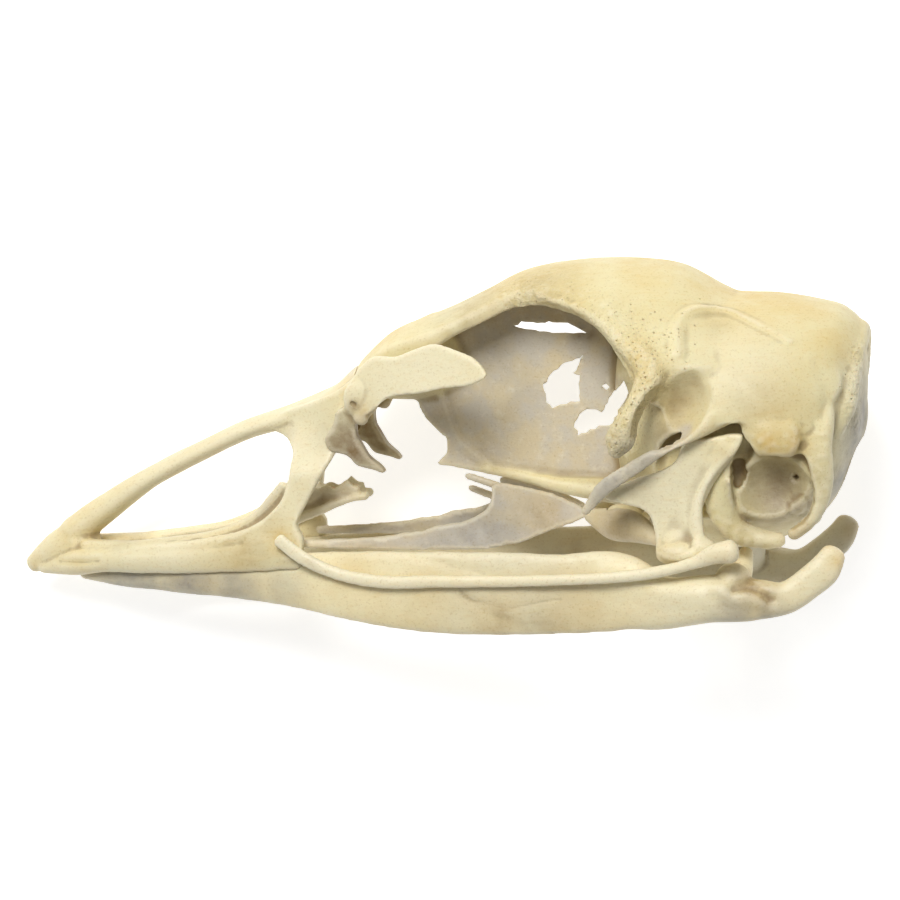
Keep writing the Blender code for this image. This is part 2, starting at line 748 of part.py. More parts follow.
def vomer(neighbours):
    left = bar([(2.4, -1.5, -2.9, 0.4, 0.45), (5.6, -1.5, -3.9, 0.45, 0.5), (9.4, -0.3, -5.6, 0.5, 0.5)])
    right = bar([(2.4, 1.4, -4.7, 0.4, 0.45), (5.4, 1.2, -5.7, 0.45, 0.5), (9.4, 0.3, -6.0, 0.5, 0.5)])
    return bone("vomer", [left, right], "vomer", "thin_bone", neighbours=neighbours,
                skin=FINE_SKIN, rubs=1)


def skull_turn():
    """The skull frame turned so that its left side faces up and its beak points to -x."""
    along = Vector((math.cos(LEAN_BACK), math.sin(LEAN_BACK), 0))
    up = Vector((
        math.sin(LEAN_BACK) * math.cos(LEAN_CROWN),
        -math.cos(LEAN_BACK) * math.cos(LEAN_CROWN),
        math.sin(LEAN_CROWN),
    ))
    return Matrix((along, up.cross(along), up))


def lay_down(bones):
    """Parents the bones to one empty that turns them and sets their box on the origin, in metres."""
    turn = skull_turn()
    corners = np.concatenate([
        np.array([turn @ vertex.co for vertex in piece.data.vertices]) for piece in bones
    ])
    low, high = corners.min(axis=0), corners.max(axis=0)
    pose = bpy.data.objects.new("skull_pose", None)
    pose.matrix_world = turn.to_4x4()
    pose.location = (-(low[0] + high[0]) / 2 * MM, -(low[1] + high[1]) / 2 * MM, -low[2] * MM)
    bpy.context.scene.collection.objects.link(pose)
    for piece in bones:
        piece.data.transform(Matrix.Scale(MM, 4))
        piece.data.shade_smooth()
        piece.parent = pose


def main():
    clear_scene()
    head = cranium()
    beak = upper_beak(head)
    quadrate_left = quadrate(head)
    quadrate_right = right_of(quadrate_left)
    jaw = mandible(beak, quadrate_left, quadrate_right)
    lacrimal_left = lacrimal(head, beak)
    jugal_left = jugal_bar(beak, quadrate_left, jaw)
    palatine_left = palatine(head, beak, quadrate_left, jaw)
    pterygoid_left = pterygoid([head, quadrate_left, palatine_left])
    left_bones = [lacrimal_left, jugal_left, palatine_left, pterygoid_left]
    right_bones = [right_of(piece) for piece in left_bones]
    nose_divider = vomer([head, palatine_left, right_bones[2]])
    lay_down([head, beak, quadrate_left, quadrate_right, jaw, *left_bones, *right_bones, nose_divider])


if __name__ == "__main__":
    main()
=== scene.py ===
# %% [markdown]
# # A turkey skull, bone by bone
# A dry skull of a turkey lies on its right side on white paper. It is built here in Blender the way that a
# preparator might copy one: each bone is worked in clay, dried, scratched, pored and stained, and then the
# whole skull is laid down in the pose that it rests in.
#
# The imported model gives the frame: where the skull lies and how large it is. The first lines load it, and
# nothing in it is moved later.

import math

import bmesh
import bpy
import numpy as np
from mathutils import Euler, Matrix, Vector, geometry, noise
from mathutils.bvhtree import BVHTree


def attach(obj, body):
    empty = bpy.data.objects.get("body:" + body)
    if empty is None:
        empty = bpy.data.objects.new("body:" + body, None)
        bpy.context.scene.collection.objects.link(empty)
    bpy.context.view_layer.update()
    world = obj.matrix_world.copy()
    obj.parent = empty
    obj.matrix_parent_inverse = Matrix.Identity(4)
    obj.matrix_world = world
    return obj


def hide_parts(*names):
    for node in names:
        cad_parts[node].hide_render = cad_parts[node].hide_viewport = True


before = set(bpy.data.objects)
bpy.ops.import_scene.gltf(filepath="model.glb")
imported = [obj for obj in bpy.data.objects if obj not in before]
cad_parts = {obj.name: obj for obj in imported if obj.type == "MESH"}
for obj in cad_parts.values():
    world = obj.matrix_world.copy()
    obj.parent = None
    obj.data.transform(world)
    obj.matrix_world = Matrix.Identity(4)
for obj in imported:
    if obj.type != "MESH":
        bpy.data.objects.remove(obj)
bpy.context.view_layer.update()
print("bones in the frame:", ", ".join(sorted(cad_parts)))

# %% [markdown]
# ## The skull's own frame
# A bone is easiest to shape while the skull stands upright: x runs from the beak (-) to the back of the head
# (+), y from the left side (-) to the right (+), z up, all in millimetres. Two small angles then say how the
# skull leans when it lies on its right side, left side up.

# %% The resting pose
LEAN_BACK = math.radians(7.8)
LEAN_CROWN = math.radians(8.9)


def side_view(back, crown):
    """Rows of a turn that shows the skull's left side: along the picture, up it, and out of it."""
    along = Vector((math.cos(back), math.sin(back), 0))
    out = Vector((
        math.sin(back) * math.cos(crown),
        -math.cos(back) * math.cos(crown),
        math.sin(crown),
    ))
    return Matrix((along, out.cross(along), out))


resting = side_view(LEAN_BACK, LEAN_CROWN)
print("the left side faces up, turned by", [round(math.degrees(a), 1) for a in (LEAN_BACK, LEAN_CROWN)])

# %% [markdown]
# ## Clay: bars, lumps, sheets and roofs
# Bone has almost no straight lines, so no primitive is right for it. Most bones of a bird are rods that swell
# and flatten, so the main tool is a bar whose row of sections follows a smooth curve. Thin walls are sheets
# with a drawn outline, and the forehead is an arched roof. One curve routine serves them all: it runs a
# smooth line through rows of numbers, whatever the numbers mean.

# %% A smooth curve through rows of numbers
def smooth_rows(rows, step, slopes=None):
    """Rows of numbers on a smooth curve through the given rows, a step apart along their x, y, z."""
    rows = np.array(rows, float)
    at = np.concatenate([[0], np.cumsum(np.linalg.norm(np.diff(rows[:, :3], axis=0), axis=1))])
    slope = np.gradient(rows, at, axis=0) if slopes is None else slopes(rows, at)
    fine = np.linspace(0, at[-1], max(3, int(at[-1] / step) + 2))
    k = np.clip(np.searchsorted(at, fine, side="right") - 1, 0, len(rows) - 2)
    span = (at[k + 1] - at[k])[:, None]
    u = (fine - at[k])[:, None] / span
    start = (2 * u**3 - 3 * u**2 + 1) * rows[k] + (u**3 - 2 * u**2 + u) * span * slope[k]
    end = (3 * u**2 - 2 * u**3) * rows[k + 1] + (u**3 - u**2) * span * slope[k + 1]
    return start + end


def loop_slopes(rows, at):
    """Slopes of a closed curve whose last row repeats its first."""
    slope = np.gradient(rows, at, axis=0)
    slope[0] = slope[-1] = (rows[1] - rows[-2]) / (at[1] + at[-1] - at[-2])
    return slope


print("curve rows:", len(smooth_rows([(0, 0, 0), (10, 0, 5)], 1.0)))

# %% Clay, and a tube round rings of points
def in_scene(name, data):
    """A new object in the scene."""
    made = bpy.data.objects.new(name, data)
    bpy.context.scene.collection.objects.link(made)
    return made


def clay(shape):
    """A new object that holds a bmesh, its faces turned outwards."""
    bmesh.ops.recalc_face_normals(shape, faces=shape.faces)
    mesh = bpy.data.meshes.new("clay")
    shape.to_mesh(mesh)
    shape.free()
    return in_scene("clay", mesh)


def walled(shape, rings):
    """Closes rings of points into a tube with two flat ends."""
    for first, second in zip(rings, rings[1:]):
        for k in range(len(first)):
            after = (k + 1) % len(first)
            shape.faces.new((first[k], first[after], second[after], second[k]))
    shape.faces.new(rings[0])
    shape.faces.new(rings[-1])
    return clay(shape)


# %% Bars
CAP_TILTS = (84, 65, 45, 25)


def bar(rows, side=(0, 1, 0), ends=(None, None), square=2.0, corners=20, step=0.8, upright=False):
    """A round-ended bar. A row is x, y, z, half its width along side, half its depth, and a turn in degrees.

    Its sections stand square to its path, or square to x where upright is set.
    """
    rows = smooth_rows([tuple(row) + (0,) * (6 - len(row)) for row in rows], step)
    ahead = np.gradient(rows[:, :3], axis=0)
    if upright:
        ahead[:] = (1, 0, 0)
    ahead /= np.linalg.norm(ahead, axis=1)[:, None]
    around = np.linspace(0, math.tau, corners, endpoint=False)
    wide = np.sign(np.cos(around)) * np.abs(np.cos(around)) ** (2 / square)
    deep = np.sign(np.sin(around)) * np.abs(np.sin(around)) ** (2 / square)
    stops = [(0, -tilt) for tilt in CAP_TILTS] + [(i, 0) for i in range(len(rows))]
    stops += [(len(rows) - 1, tilt) for tilt in reversed(CAP_TILTS)]
    shape = bmesh.new()
    rings = []
    for i, tilt in stops:
        half_width, half_depth, turn = rows[i, 3:6]
        reach = ends[0 if tilt < 0 else 1] or min(half_width, half_depth)
        share, push = math.cos(math.radians(tilt)), math.sin(math.radians(tilt))
        across = np.array(side, float) - ahead[i] * np.dot(side, ahead[i])
        across /= np.linalg.norm(across)
        up = np.cross(ahead[i], across)
        turn = math.radians(turn)
        across, up = (
            across * math.cos(turn) + up * math.sin(turn),
            up * math.cos(turn) - across * math.sin(turn),
        )
        ring = rows[i, :3] + ahead[i] * push * reach
        ring = ring + share * (half_width * np.outer(wide, across) + half_depth * np.outer(deep, up))
        rings.append([shape.verts.new(point) for point in ring])
    return walled(shape, rings)


print("a bar's cap is turned in", len(CAP_TILTS), "steps")

# %% Lumps
def lump(centre, radii, turn=(0, 0, 0)):
    """An egg-shaped lump, turned by degrees about x, y and z."""
    shape = bmesh.new()
    angles = Euler([math.radians(angle) for angle in turn]).to_matrix().to_4x4()
    place = Matrix.Translation(centre) @ angles @ Matrix.Diagonal((*radii, 1))
    bmesh.ops.create_icosphere(shape, subdivisions=4, radius=1, matrix=place)
    return clay(shape)


trial = lump((0, 0, 0), (2, 1, 1))
print("a lump has", len(trial.data.polygons), "faces")
bpy.data.objects.remove(trial)

# %% Sheets
SHEET_GRID = 0.9
INSIDE_ONLY = 1


def extruded(ring, middle, half):
    """A sheet within a ring of (x, z) points, half its thickness each way from middle(x, z)."""
    ring = np.array(ring, float)
    xs, zs = (np.arange(low + 0.4, high, SHEET_GRID) for low, high in zip(ring.min(0), ring.max(0)))
    inner = [Vector((x, z)) for x in xs for z in zs]
    edges = [(k, (k + 1) % len(ring)) for k in range(len(ring))]
    points = [*map(Vector, ring), *inner]
    flat, _, faces, *_ = geometry.delaunay_2d_cdt(points, edges, [], INSIDE_ONLY, 1e-5)
    shape = bmesh.new()
    near, far = (
        [shape.verts.new((x, middle(x, z) + offset, z)) for x, z in flat]
        for offset in (-half, half)
    )
    sides = {}
    for face in faces:
        shape.faces.new([near[k] for k in face])
        shape.faces.new([far[k] for k in reversed(face)])
        sides.update(dict.fromkeys(zip(face, [*face[1:], face[0]])))
    for start, end in sides:
        if (end, start) not in sides:
            shape.faces.new((near[end], near[start], far[start], far[end]))
    loose = [vertex for vertex in shape.verts if not vertex.link_faces]
    bmesh.ops.delete(shape, geom=loose, context="VERTS")
    return clay(shape)


def sheet(outline, middle, half):
    """A sheet with a smooth outline of (x, z) points."""
    rows = [(x, 0, z) for x, z in [*outline, outline[0]]]
    return extruded(smooth_rows(rows, 0.6, loop_slopes)[:-1][:, [0, 2]], middle, half)


def jagged(outline, middle, half, bite=0.12, seed=4):
    """A sheet with a broken edge: straight sides between its corners, bitten at random."""
    chips = np.random.default_rng(seed)
    ring = []
    for start, end in zip(outline, [*outline[1:], outline[0]]):
        start, end = np.array(start, float), np.array(end, float)
        length = np.linalg.norm(end - start)
        across = np.array([start[1] - end[1], end[0] - start[0]]) / max(length, 1e-6)
        count = max(1, int(length / 0.45))
        for k in range(count):
            ring.append(start + (end - start) * k / count + across * chips.normal(0, bite))
    return extruded(ring, middle, half)


print("a sheet's faces are about", SHEET_GRID, "mm wide")

# %% Roofs
def roof(rows, step=1.0, spread=15):
    """An arched roof along x. A row is x, the height of its crown, its half width, droop and thickness."""
    rows = smooth_rows([(x, 0, crown, half, droop, thick) for x, crown, half, droop, thick in rows], step)
    shape = bmesh.new()
    grid = []
    for x, _, crown, half, droop, thick in rows:
        upper, lower = [], []
        for k in range(spread):
            share = 2 * k / (spread - 1) - 1
            z = crown - droop * share**2
            upper.append(shape.verts.new((x, half * share, z)))
            lower.append(shape.verts.new((x, half * share * 0.97, z - thick)))
        grid.append(upper + lower[::-1])
    return walled(shape, grid)


print("the tools for clay are ready")

# %% [markdown]
# ## Fusing, carving and rubbing
# Clay pieces that touch become one body under a skin: Blender's voxel Remesh wraps a closed surface round
# everything, and a few passes of Smooth rub the joins away. A Boolean with the Manifold solver carves it,
# because it is fast and always leaves a closed body. A bird's skull is the same on both sides, so most
# pieces are made once and mirrored.

# %% Mirror and join
def mirrored(piece):
    """The mirror image of a piece on the skull's other side."""
    mesh = piece.data.copy()
    mesh.transform(Matrix.Diagonal((1, -1, 1, 1)))
    mesh.flip_normals()
    return in_scene(piece.name, mesh)


def both(*pieces):
    """Pieces of the left side, and their mirror images."""
    return [*pieces, *(mirrored(piece) for piece in pieces)]


def settle(piece):
    """Turns what a piece's modifiers make into its own mesh."""
    bpy.context.view_layer.update()
    shaped = piece.evaluated_get(bpy.context.evaluated_depsgraph_get())
    old = piece.data
    piece.data = bpy.data.meshes.new_from_object(shaped)
    piece.modifiers.clear()
    bpy.data.meshes.remove(old)


def remove(pieces):
    for piece in pieces:
        bpy.data.objects.remove(piece)


def joined(pieces):
    """Pieces as one object of several surfaces. The pieces are used up."""
    shape = bmesh.new()
    for piece in pieces:
        shape.from_mesh(piece.data)
    remove(pieces)
    return clay(shape)


print("pieces can be mirrored and joined")

# %% Skin and carve
SKIN = 0.3


def skinned(piece, skin=SKIN, rubs=2):
    """Lays one skin over a piece and rubs it smooth."""
    cover = piece.modifiers.new("skin", "REMESH")
    cover.mode = "VOXEL"
    cover.voxel_size = skin
    if rubs:
        rub = piece.modifiers.new("rub", "SMOOTH")
        rub.factor = 0.5
        rub.iterations = rubs
    settle(piece)
    return piece


def carve(piece, cutters):
    """Cuts each closed cutter out of a piece. The cutters are used up."""
    for cutter in cutters:
        cut = piece.modifiers.new("cut", "BOOLEAN")
        cut.operation = "DIFFERENCE"
        cut.solver = "MANIFOLD"
        cut.object = cutter
    settle(piece)
    remove(cutters)


print("the skin's grain is", SKIN, "mm")

# %% Room for a neighbour
GAP = 0.14
rooms = {}


def room_for(neighbour):
    """A copy of a neighbour that is larger by the gap all round, to be cut out of the bone beside it."""
    if neighbour.name not in rooms:
        copy = in_scene("room", neighbour.data.copy())
        swell = copy.modifiers.new("swell", "DISPLACE")
        swell.strength = GAP
        swell.mid_level = 0
        settle(copy)
        rooms[neighbour.name] = skinned(copy, SKIN, 0).data
    return in_scene("room", rooms[neighbour.name].copy())


print("bones that touch stay", GAP, "mm apart")

# %% The whole bone
def keep_largest(piece):
    """Drops every closed surface but the largest."""
    shape = bmesh.new()
    shape.from_mesh(piece.data)
    left = set(shape.faces)
    surfaces = []
    while left:
        surface = {left.pop()}
        edge_of_it = list(surface)
        while edge_of_it:
            face = edge_of_it.pop()
            for edge in face.edges:
                for other in edge.link_faces:
                    if other in left:
                        left.remove(other)
                        surface.add(other)
                        edge_of_it.append(other)
        surfaces.append(surface)
    surfaces.sort(key=len)
    scraps = [face for surface in surfaces[:-1] for face in surface]
    bmesh.ops.delete(shape, geom=scraps, context="FACES")
    shape.to_mesh(piece.data)
    shape.free()


def fused(name, pieces, cutters=(), neighbours=(), rubs=2):
    """One bone in clay: its pieces fused, carved, rubbed and cut clear of its neighbours."""
    made = skinned(joined(pieces), SKIN, rubs)
    if cutters:
        carve(made, list(cutters))
        skinned(made, SKIN, rubs)
    if neighbours:
        carve(made, [room_for(neighbour) for neighbour in neighbours])
    keep_largest(made)
    made.name = made.data.name = name
    print(name, len(made.data.polygons), "faces")
    return made


def right_of(left):
    """The right-hand bone of a left-hand one."""
    made = mirrored(left)
    made.name = made.data.name = left.name.replace("_left", "_right")
    return made


print("the tools for whole bones are ready")

# %% [markdown]
# ## Scratches, swellings and grain
# The fine relief comes last, on the fused bone, by moving its own points along their normals: a groove is a
# path seen from the side that presses the surface in, a swelling is the same with the sign turned, and
# grain is smooth noise. The Displace modifier or sculpting by hand could do the same, but a path of a few
# points is easier to read and to correct.

# %% Read the points of a bone
def points_of(piece, what="co"):
    numbers = np.empty(len(piece.data.vertices) * 3, np.float32)
    piece.data.vertices.foreach_get(what, numbers)
    return numbers.reshape(-1, 3).astype(float)


def normals_of(piece):
    return points_of(piece, "normal")


def set_points(piece, points):
    piece.data.vertices.foreach_set("co", points.astype(np.float32).ravel())
    piece.data.update()


def distance_to(points, path):
    """How far each point lies from a path of (x, z) points, seen from the side."""
    flat = points[:, [0, 2]]
    best = np.full(len(flat), np.inf)
    for start, end in zip(path, path[1:]):
        start, along = np.array(start, float), np.array(end, float) - np.array(start, float)
        share = np.clip(((flat - start) @ along) / max(along @ along, 1e-9), 0, 1)
        best = np.minimum(best, np.linalg.norm(flat - start - share[:, None] * along, axis=1))
    return best


def near_path(points, path, width):
    """How near each point is to a path seen from the side: 1 on it, and next to nothing two widths off."""
    return np.exp(-((distance_to(points, path) / width) ** 2))


def near_patch(points, x, z, long, high):
    """How near each point is to the middle of an oval patch seen from the side."""
    return np.exp(-(((points[:, 0] - x) / long) ** 2) - ((points[:, 2] - z) / high) ** 2)


def flank(points, normals, inner=2.0):
    """How much each point belongs to the outer side of the head, from 0 to 1."""
    faces_out = np.clip(2.5 * np.sign(points[:, 1]) * normals[:, 1], 0, 1)
    return faces_out * (np.abs(points[:, 1]) > inner)


print("one step off a straight path:", distance_to(np.array([(0.0, 0, 1)]), [(-1, 0), (1, 0)])[0])

# %% Press and roughen
def press(piece, path, width, depth, inner=2.0):
    """Presses a path into both flanks of a bone, or raises it where the depth is negative."""
    points, normals = points_of(piece), normals_of(piece)
    path = smooth_rows([(x, 0, z) for x, z in path], 0.5)[:, [0, 2]] if len(path) > 2 else path
    weight = near_path(points, path, width) * flank(points, normals, inner)
    set_points(piece, points - normals * (depth * weight)[:, None])


def noise_at(points, size, shift=0.0):
    """Smooth noise between -1 and 1 whose features are as large as the given size."""
    return np.array([noise.noise(Vector(point)) for point in points / size + shift])


def roughen(piece, size, height, share=1.0):
    """Grain of one size all over a piece, or where share gives more than 0."""
    points, normals = points_of(piece), normals_of(piece)
    set_points(piece, points + normals * (noise_at(points, size) * height * share)[:, None])


print("relief tools are ready")

# %% [markdown]
# ## Pores
# Where bone has grown fast, along the rim of the eye socket and on the process behind it, its surface is
# full of pores. Geometry Nodes scatter them: points that keep a distance from one another, thickest where a
# painted weight is high, and on each a round seed of its own size. The seeds are then carved out of the
# bone, so that each pore is a real hole.

# %% A node tree that scatters pore seeds
def pore_tree():
    """Seeds of pores on a mesh, where its attribute pored is above 0."""
    tree = bpy.data.node_groups.new("pore_seeds", "GeometryNodeTree")
    names = {}
    for name in ("Geometry", "Spacing", "Per area", "Smallest", "Largest", "Seed"):
        kind = "NodeSocket" + {"Geometry": "Geometry", "Seed": "Int"}.get(name, "Float")
        socket = tree.interface.new_socket(name, in_out="INPUT", socket_type=kind)
        names[name.lower().replace(" ", "_")] = socket.identifier
    tree.interface.new_socket("Geometry", in_out="OUTPUT", socket_type="NodeSocketGeometry")
    given, made = tree.nodes.new("NodeGroupInput"), tree.nodes.new("NodeGroupOutput")
    weight = tree.nodes.new("GeometryNodeInputNamedAttribute")
    weight.data_type = "FLOAT"
    weight.inputs["Name"].default_value = "pored"
    scatter = tree.nodes.new("GeometryNodeDistributePointsOnFaces")
    scatter.distribute_method = "POISSON"
    ball = tree.nodes.new("GeometryNodeMeshIcoSphere")
    ball.inputs["Subdivisions"].default_value = 2
    size = tree.nodes.new("FunctionNodeRandomValue")
    on_points = tree.nodes.new("GeometryNodeInstanceOnPoints")
    real = tree.nodes.new("GeometryNodeRealizeInstances")
    for source, output, target, socket in (
        (given, "Geometry", scatter, "Mesh"),
        (given, "Spacing", scatter, "Distance Min"),
        (given, "Per area", scatter, "Density Max"),
        (weight, "Attribute", scatter, "Density Factor"),
        (given, "Seed", scatter, "Seed"),
        (given, "Smallest", size, 2),
        (given, "Largest", size, 3),
        (given, "Seed", size, "Seed"),
        (scatter, "Points", on_points, "Points"),
        (scatter, "Rotation", on_points, "Rotation"),
        (ball, "Mesh", on_points, "Instance"),
        (size, 1, on_points, "Scale"),
        (on_points, "Instances", real, "Geometry"),
        (real, "Geometry", made, "Geometry"),
    ):
        tree.links.new(source.outputs[output], target.inputs[socket])
    return tree, names


PORE_TREE, PORE_INPUTS = pore_tree()
SEED_FACES = 80
print("pore tree:", len(PORE_TREE.nodes), "nodes")

# %% Pores in a bone
def set_share(piece, name, values):
    """Writes one number for each point of a piece under a name that nodes can read."""
    if name in piece.data.attributes:
        piece.data.attributes.remove(piece.data.attributes[name])
    layer = piece.data.attributes.new(name, "FLOAT", "POINT")
    layer.data.foreach_set("value", np.asarray(values, np.float32))


def pierce(piece, share, **sizes):
    """Carves pores into a bone where share is above 0."""
    set_share(piece, "pored", share)
    seeds = in_scene("seeds", piece.data.copy())
    grow = seeds.modifiers.new("pores", "NODES")
    grow.node_group = PORE_TREE
    for name, value in sizes.items():
        grow[PORE_INPUTS[name]] = value
    settle(seeds)
    count = len(seeds.data.polygons) // SEED_FACES
    if count:
        carve(piece, [seeds])
    else:
        remove([seeds])
    keep_largest(piece)
    print(piece.name, "has", count, "pores")


print("a pore's sizes:", ", ".join(PORE_INPUTS))

# %% [markdown]
# ## The cranium
# The braincase is one deep egg, squared off at the back, with the arched forehead running forward from it
# to the beak. Two eye sockets are carved so deep from both sides that only a thin wall stays between them,
# and that wall has broken open in places. The shell is therefore carved first, and the wall goes back in as
# a sheet, thinner than any clay would hold.

# %% The shell with its eye sockets
def braincase_shell():
    braincase = bar([
        (23.5, 0, 6.4, 10.5, 13.0), (28, 0, 6.0, 15.2, 14.4), (34, 0, 5.2, 16.0, 14.4),
        (41, 0, 5.1, 15.2, 14.2), (44.4, 0, 5.8, 14.1, 12.95), (46.8, 0, 7.1, 12.2, 11.1),
        (48.7, 0, 8.9, 9.4, 8.0),
    ], ends=(3.5, 1.2), square=2.15, corners=48, upright=True)
    vault = roof([
        (-10.8, 10.6, 5.6, 1.0, 2.2), (-7, 14.2, 6.6, 1.4, 2.6), (-2, 16.35, 7.8, 1.8, 2.4),
        (4, 19.15, 7.2, 1.8, 2.0), (9, 21.85, 7.4, 2.2, 2.0), (15, 23.1, 9.4, 3.2, 2.6),
        (20, 23.5, 12.8, 5.6, 3.2), (24, 23.4, 15.4, 9.4, 5.2), (27.6, 22.9, 16.0, 10.4, 6.6),
        (32.6, 20.45, 15.2, 8.4, 6.6), (37, 18.2, 13.0, 6.6, 5.6),
    ])
    base = lump((34, 0, -4.5), (10.5, 9.5, 6.4))
    nape = lump((39.6, 0, -0.6), (8.2, 10.0, 7.0))
    hindbrain = lump((45.8, 0, 5.4), (4.3, 4.2, 6.2))
    forehead = bar([(-9, 0, 8.4, 5.0, 2.4), (-5, 0, 10.0, 3.0, 4.2), (0, 0, 12.4, 1.2, 4.8)])
    shell = skinned(joined([braincase, vault, base, nape, hindbrain, forehead]), 0.4, 1)
    orbit = lump((9.2, -13.6, 5.4), (15.0, 13.0, 13.2))
    quadrate_bay = lump((28.5, -18.6, -4.6), (7.5, 9.4, 6.8), (0, 0, -12))
    seat = [(27.6, -8), (27.6, 3.6), (31, 5.0), (37.2, 5.2), (37.6, 2.0), (34.2, -2), (33.2, -8)]
    quadrate_seat = sheet(seat, lambda x, z: -15.4, half=4.2)
    carve(shell, both(orbit, quadrate_bay, quadrate_seat))
    return shell


shell = braincase_shell()
print("shell:", len(shell.data.polygons), "faces")

# %% [markdown]
# On the shell go the named features: the wall between the eyes and the beam under it, the rim of the socket
# and the process behind it, the long splint of the cheek, the smooth plate of the temple with its ridge,
# the knob and column round the ear, and the crest at the back.

# %% Features of the cranium
def midline(x, z):
    """The sideways offset of a sheet that stands on the skull's middle plane."""
    return 0.0


def plate_bulge(x, z):
    """The sideways offset of the plate at the temple, just proud of the braincase under it."""
    return -15.4 + 0.0168 * max(0.0, z - 5) ** 2.4 + 0.028 * (x - 35.5) ** 2


def cranium_features():
    septum = jagged([
        (-5.5, 13.5), (-4.8, 9.5), (-4.2, 6.6), (-3.6, 4.9), (-2.7, 3.4), (-1.6, 2.4), (-0.4, 1.4),
        (-0.3, 0.6), (-0.4, -0.4), (-2.0, -1.8), (0.6, -2.1), (3.6, -2.3), (12.1, -4.0), (18, -4.6),
        (24, -4), (24, 16), (15, 20.5), (7, 19), (0, 16),
    ], midline, half=0.34, bite=0.05)
    rostrum = bar([
        (0.6, 0, -1.7, 0.5, 0.4), (7.3, 0, -2.65, 0.8, 0.65), (14, 0, -4.0, 1.4, 1.1),
        (20, 0, -4.6, 2.4, 1.5), (27, 0, -5.4, 5, 2.6),
    ])
    orbit_rim = bar([
        (12, -7.6, 19.4, 0.9, 0.6), (17.5, -10.4, 17.9, 1.2, 0.7), (22, -13.2, 14.9, 1.6, 1.2),
        (25.6, -15.9, 11.0, 1.5, 1.75), (24.2, -17.5, 7.6, 1.4, 1.4), (22.9, -17.8, 4.9, 1.4, 1.7),
        (22.2, -17.4, 3.4, 1.3, 1.75), (21.8, -16.9, 2.3, 0.9, 1.1),
    ])
    splint = bar([
        (34, -14.9, 7.0, 1.5, 1.9), (30.6, -16.2, 4.6, 0.8, 1.2), (27.3, -16.9, 2.6, 0.5, 0.75),
        (25, -17, 1.1, 0.45, 0.95), (22.6, -16.6, -0.5, 0.45, 1.0), (20.2, -16, -2.3, 0.45, 1.0),
        (18, -15.1, -5.2, 0.4, 0.6),
    ])
    plate = sheet([
        (29.6, 12.5), (28.8, 15.6), (30.6, 17.2), (33.4, 17.2), (38, 15.6), (42.4, 13.6), (46.4, 12.4),
        (47.6, 10.2), (46.2, 7.2), (44.2, 4.4), (41.9, 3.0), (39.2, 3.6), (36.8, 5.6), (33.2, 5.4),
        (30.6, 6.6), (30.4, 9.4),
    ], plate_bulge, half=1.2)
    arch = bar([
        (28.5, -15.0, 13.4, 0.5, 0.9), (28.4, -12.4, 16.2, 0.5, 0.9), (30.2, -9.6, 17.9, 0.5, 0.9),
        (33.4, -8.3, 17.6, 0.5, 0.9), (37.4, -10.1, 16.1, 0.5, 0.9), (41.4, -11.5, 14.4, 0.4, 0.8),
    ])
    return septum, rostrum, orbit_rim, splint, plate, arch


septum, rostrum, orbit_rim, splint, plate, arch = cranium_features()
print("plate at the temple:", [round(side, 1) for side in plate.dimensions], "mm")

# %% Features round the ear and the back of the head
def ear_features():
    knob = bar([(37.4, -15.5, 5.6, 0.9, 1.7), (39.2, -15.4, 4.2, 1.3, 2.4), (41.9, -15.0, 4.0, 1.2, 2.3)])
    column = bar([
        (44.6, -11.2, 9.6, 1.0, 1.6), (45.0, -12.9, 6.2, 1.2, 1.9), (45.0, -13.6, 2.8, 1.2, 1.75),
        (45.4, -13.6, -1.2, 1.1, 1.5), (45.0, -13.4, -3.8, 1.0, 1.3), (43.6, -13.2, -6.2, 0.9, 1.1),
        (42.2, -12.9, -7.6, 0.7, 0.8),
    ], square=2.8)
    crest = bar([
        (48.8, 0, 15.2, 1.5, 1.4), (48.7, -4.0, 14.1, 1.5, 1.4), (48.3, -7.4, 12.0, 1.6, 1.3),
        (47.9, -9.3, 9.4, 1.7, 1.4), (47.5, -10.2, 7.0, 1.6, 1.3), (46.4, -10.6, 4.4, 1.4, 1.2),
    ], side=(1, 0, 0))
    ear_rim = bar([
        (35.6, -13.4, 3.0, 1.0, 1.1), (34.0, -12.8, -0.6, 1.2, 1.7), (33.5, -12.2, -4.4, 1.2, 1.7),
        (35.2, -11.6, -7.4, 1.2, 1.5), (38.2, -11.4, -8.4, 1.2, 1.2), (40.4, -11.6, -8.5, 0.9, 0.9),
    ])
    basal_knob = lump((21.6, -4.4, -7.4), (2.6, 1.7, 1.9), (0, 20, 25))
    return knob, column, crest, ear_rim, basal_knob


condyle = lump((43.2, 0, -7.0), (1.6, 1.9, 1.4))
ear_pieces = ear_features()
print("pieces round the ear:", len(ear_pieces))

# %% [markdown]
# The ear opens into a wide, shallow chamber with small foramina of its own. The muscle of the jaw leaves a
# valley between the temple and the process behind the eye, and the spinal cord leaves through the foramen
# magnum. These are carved while the clay is soft, so that their edges are rubbed round.

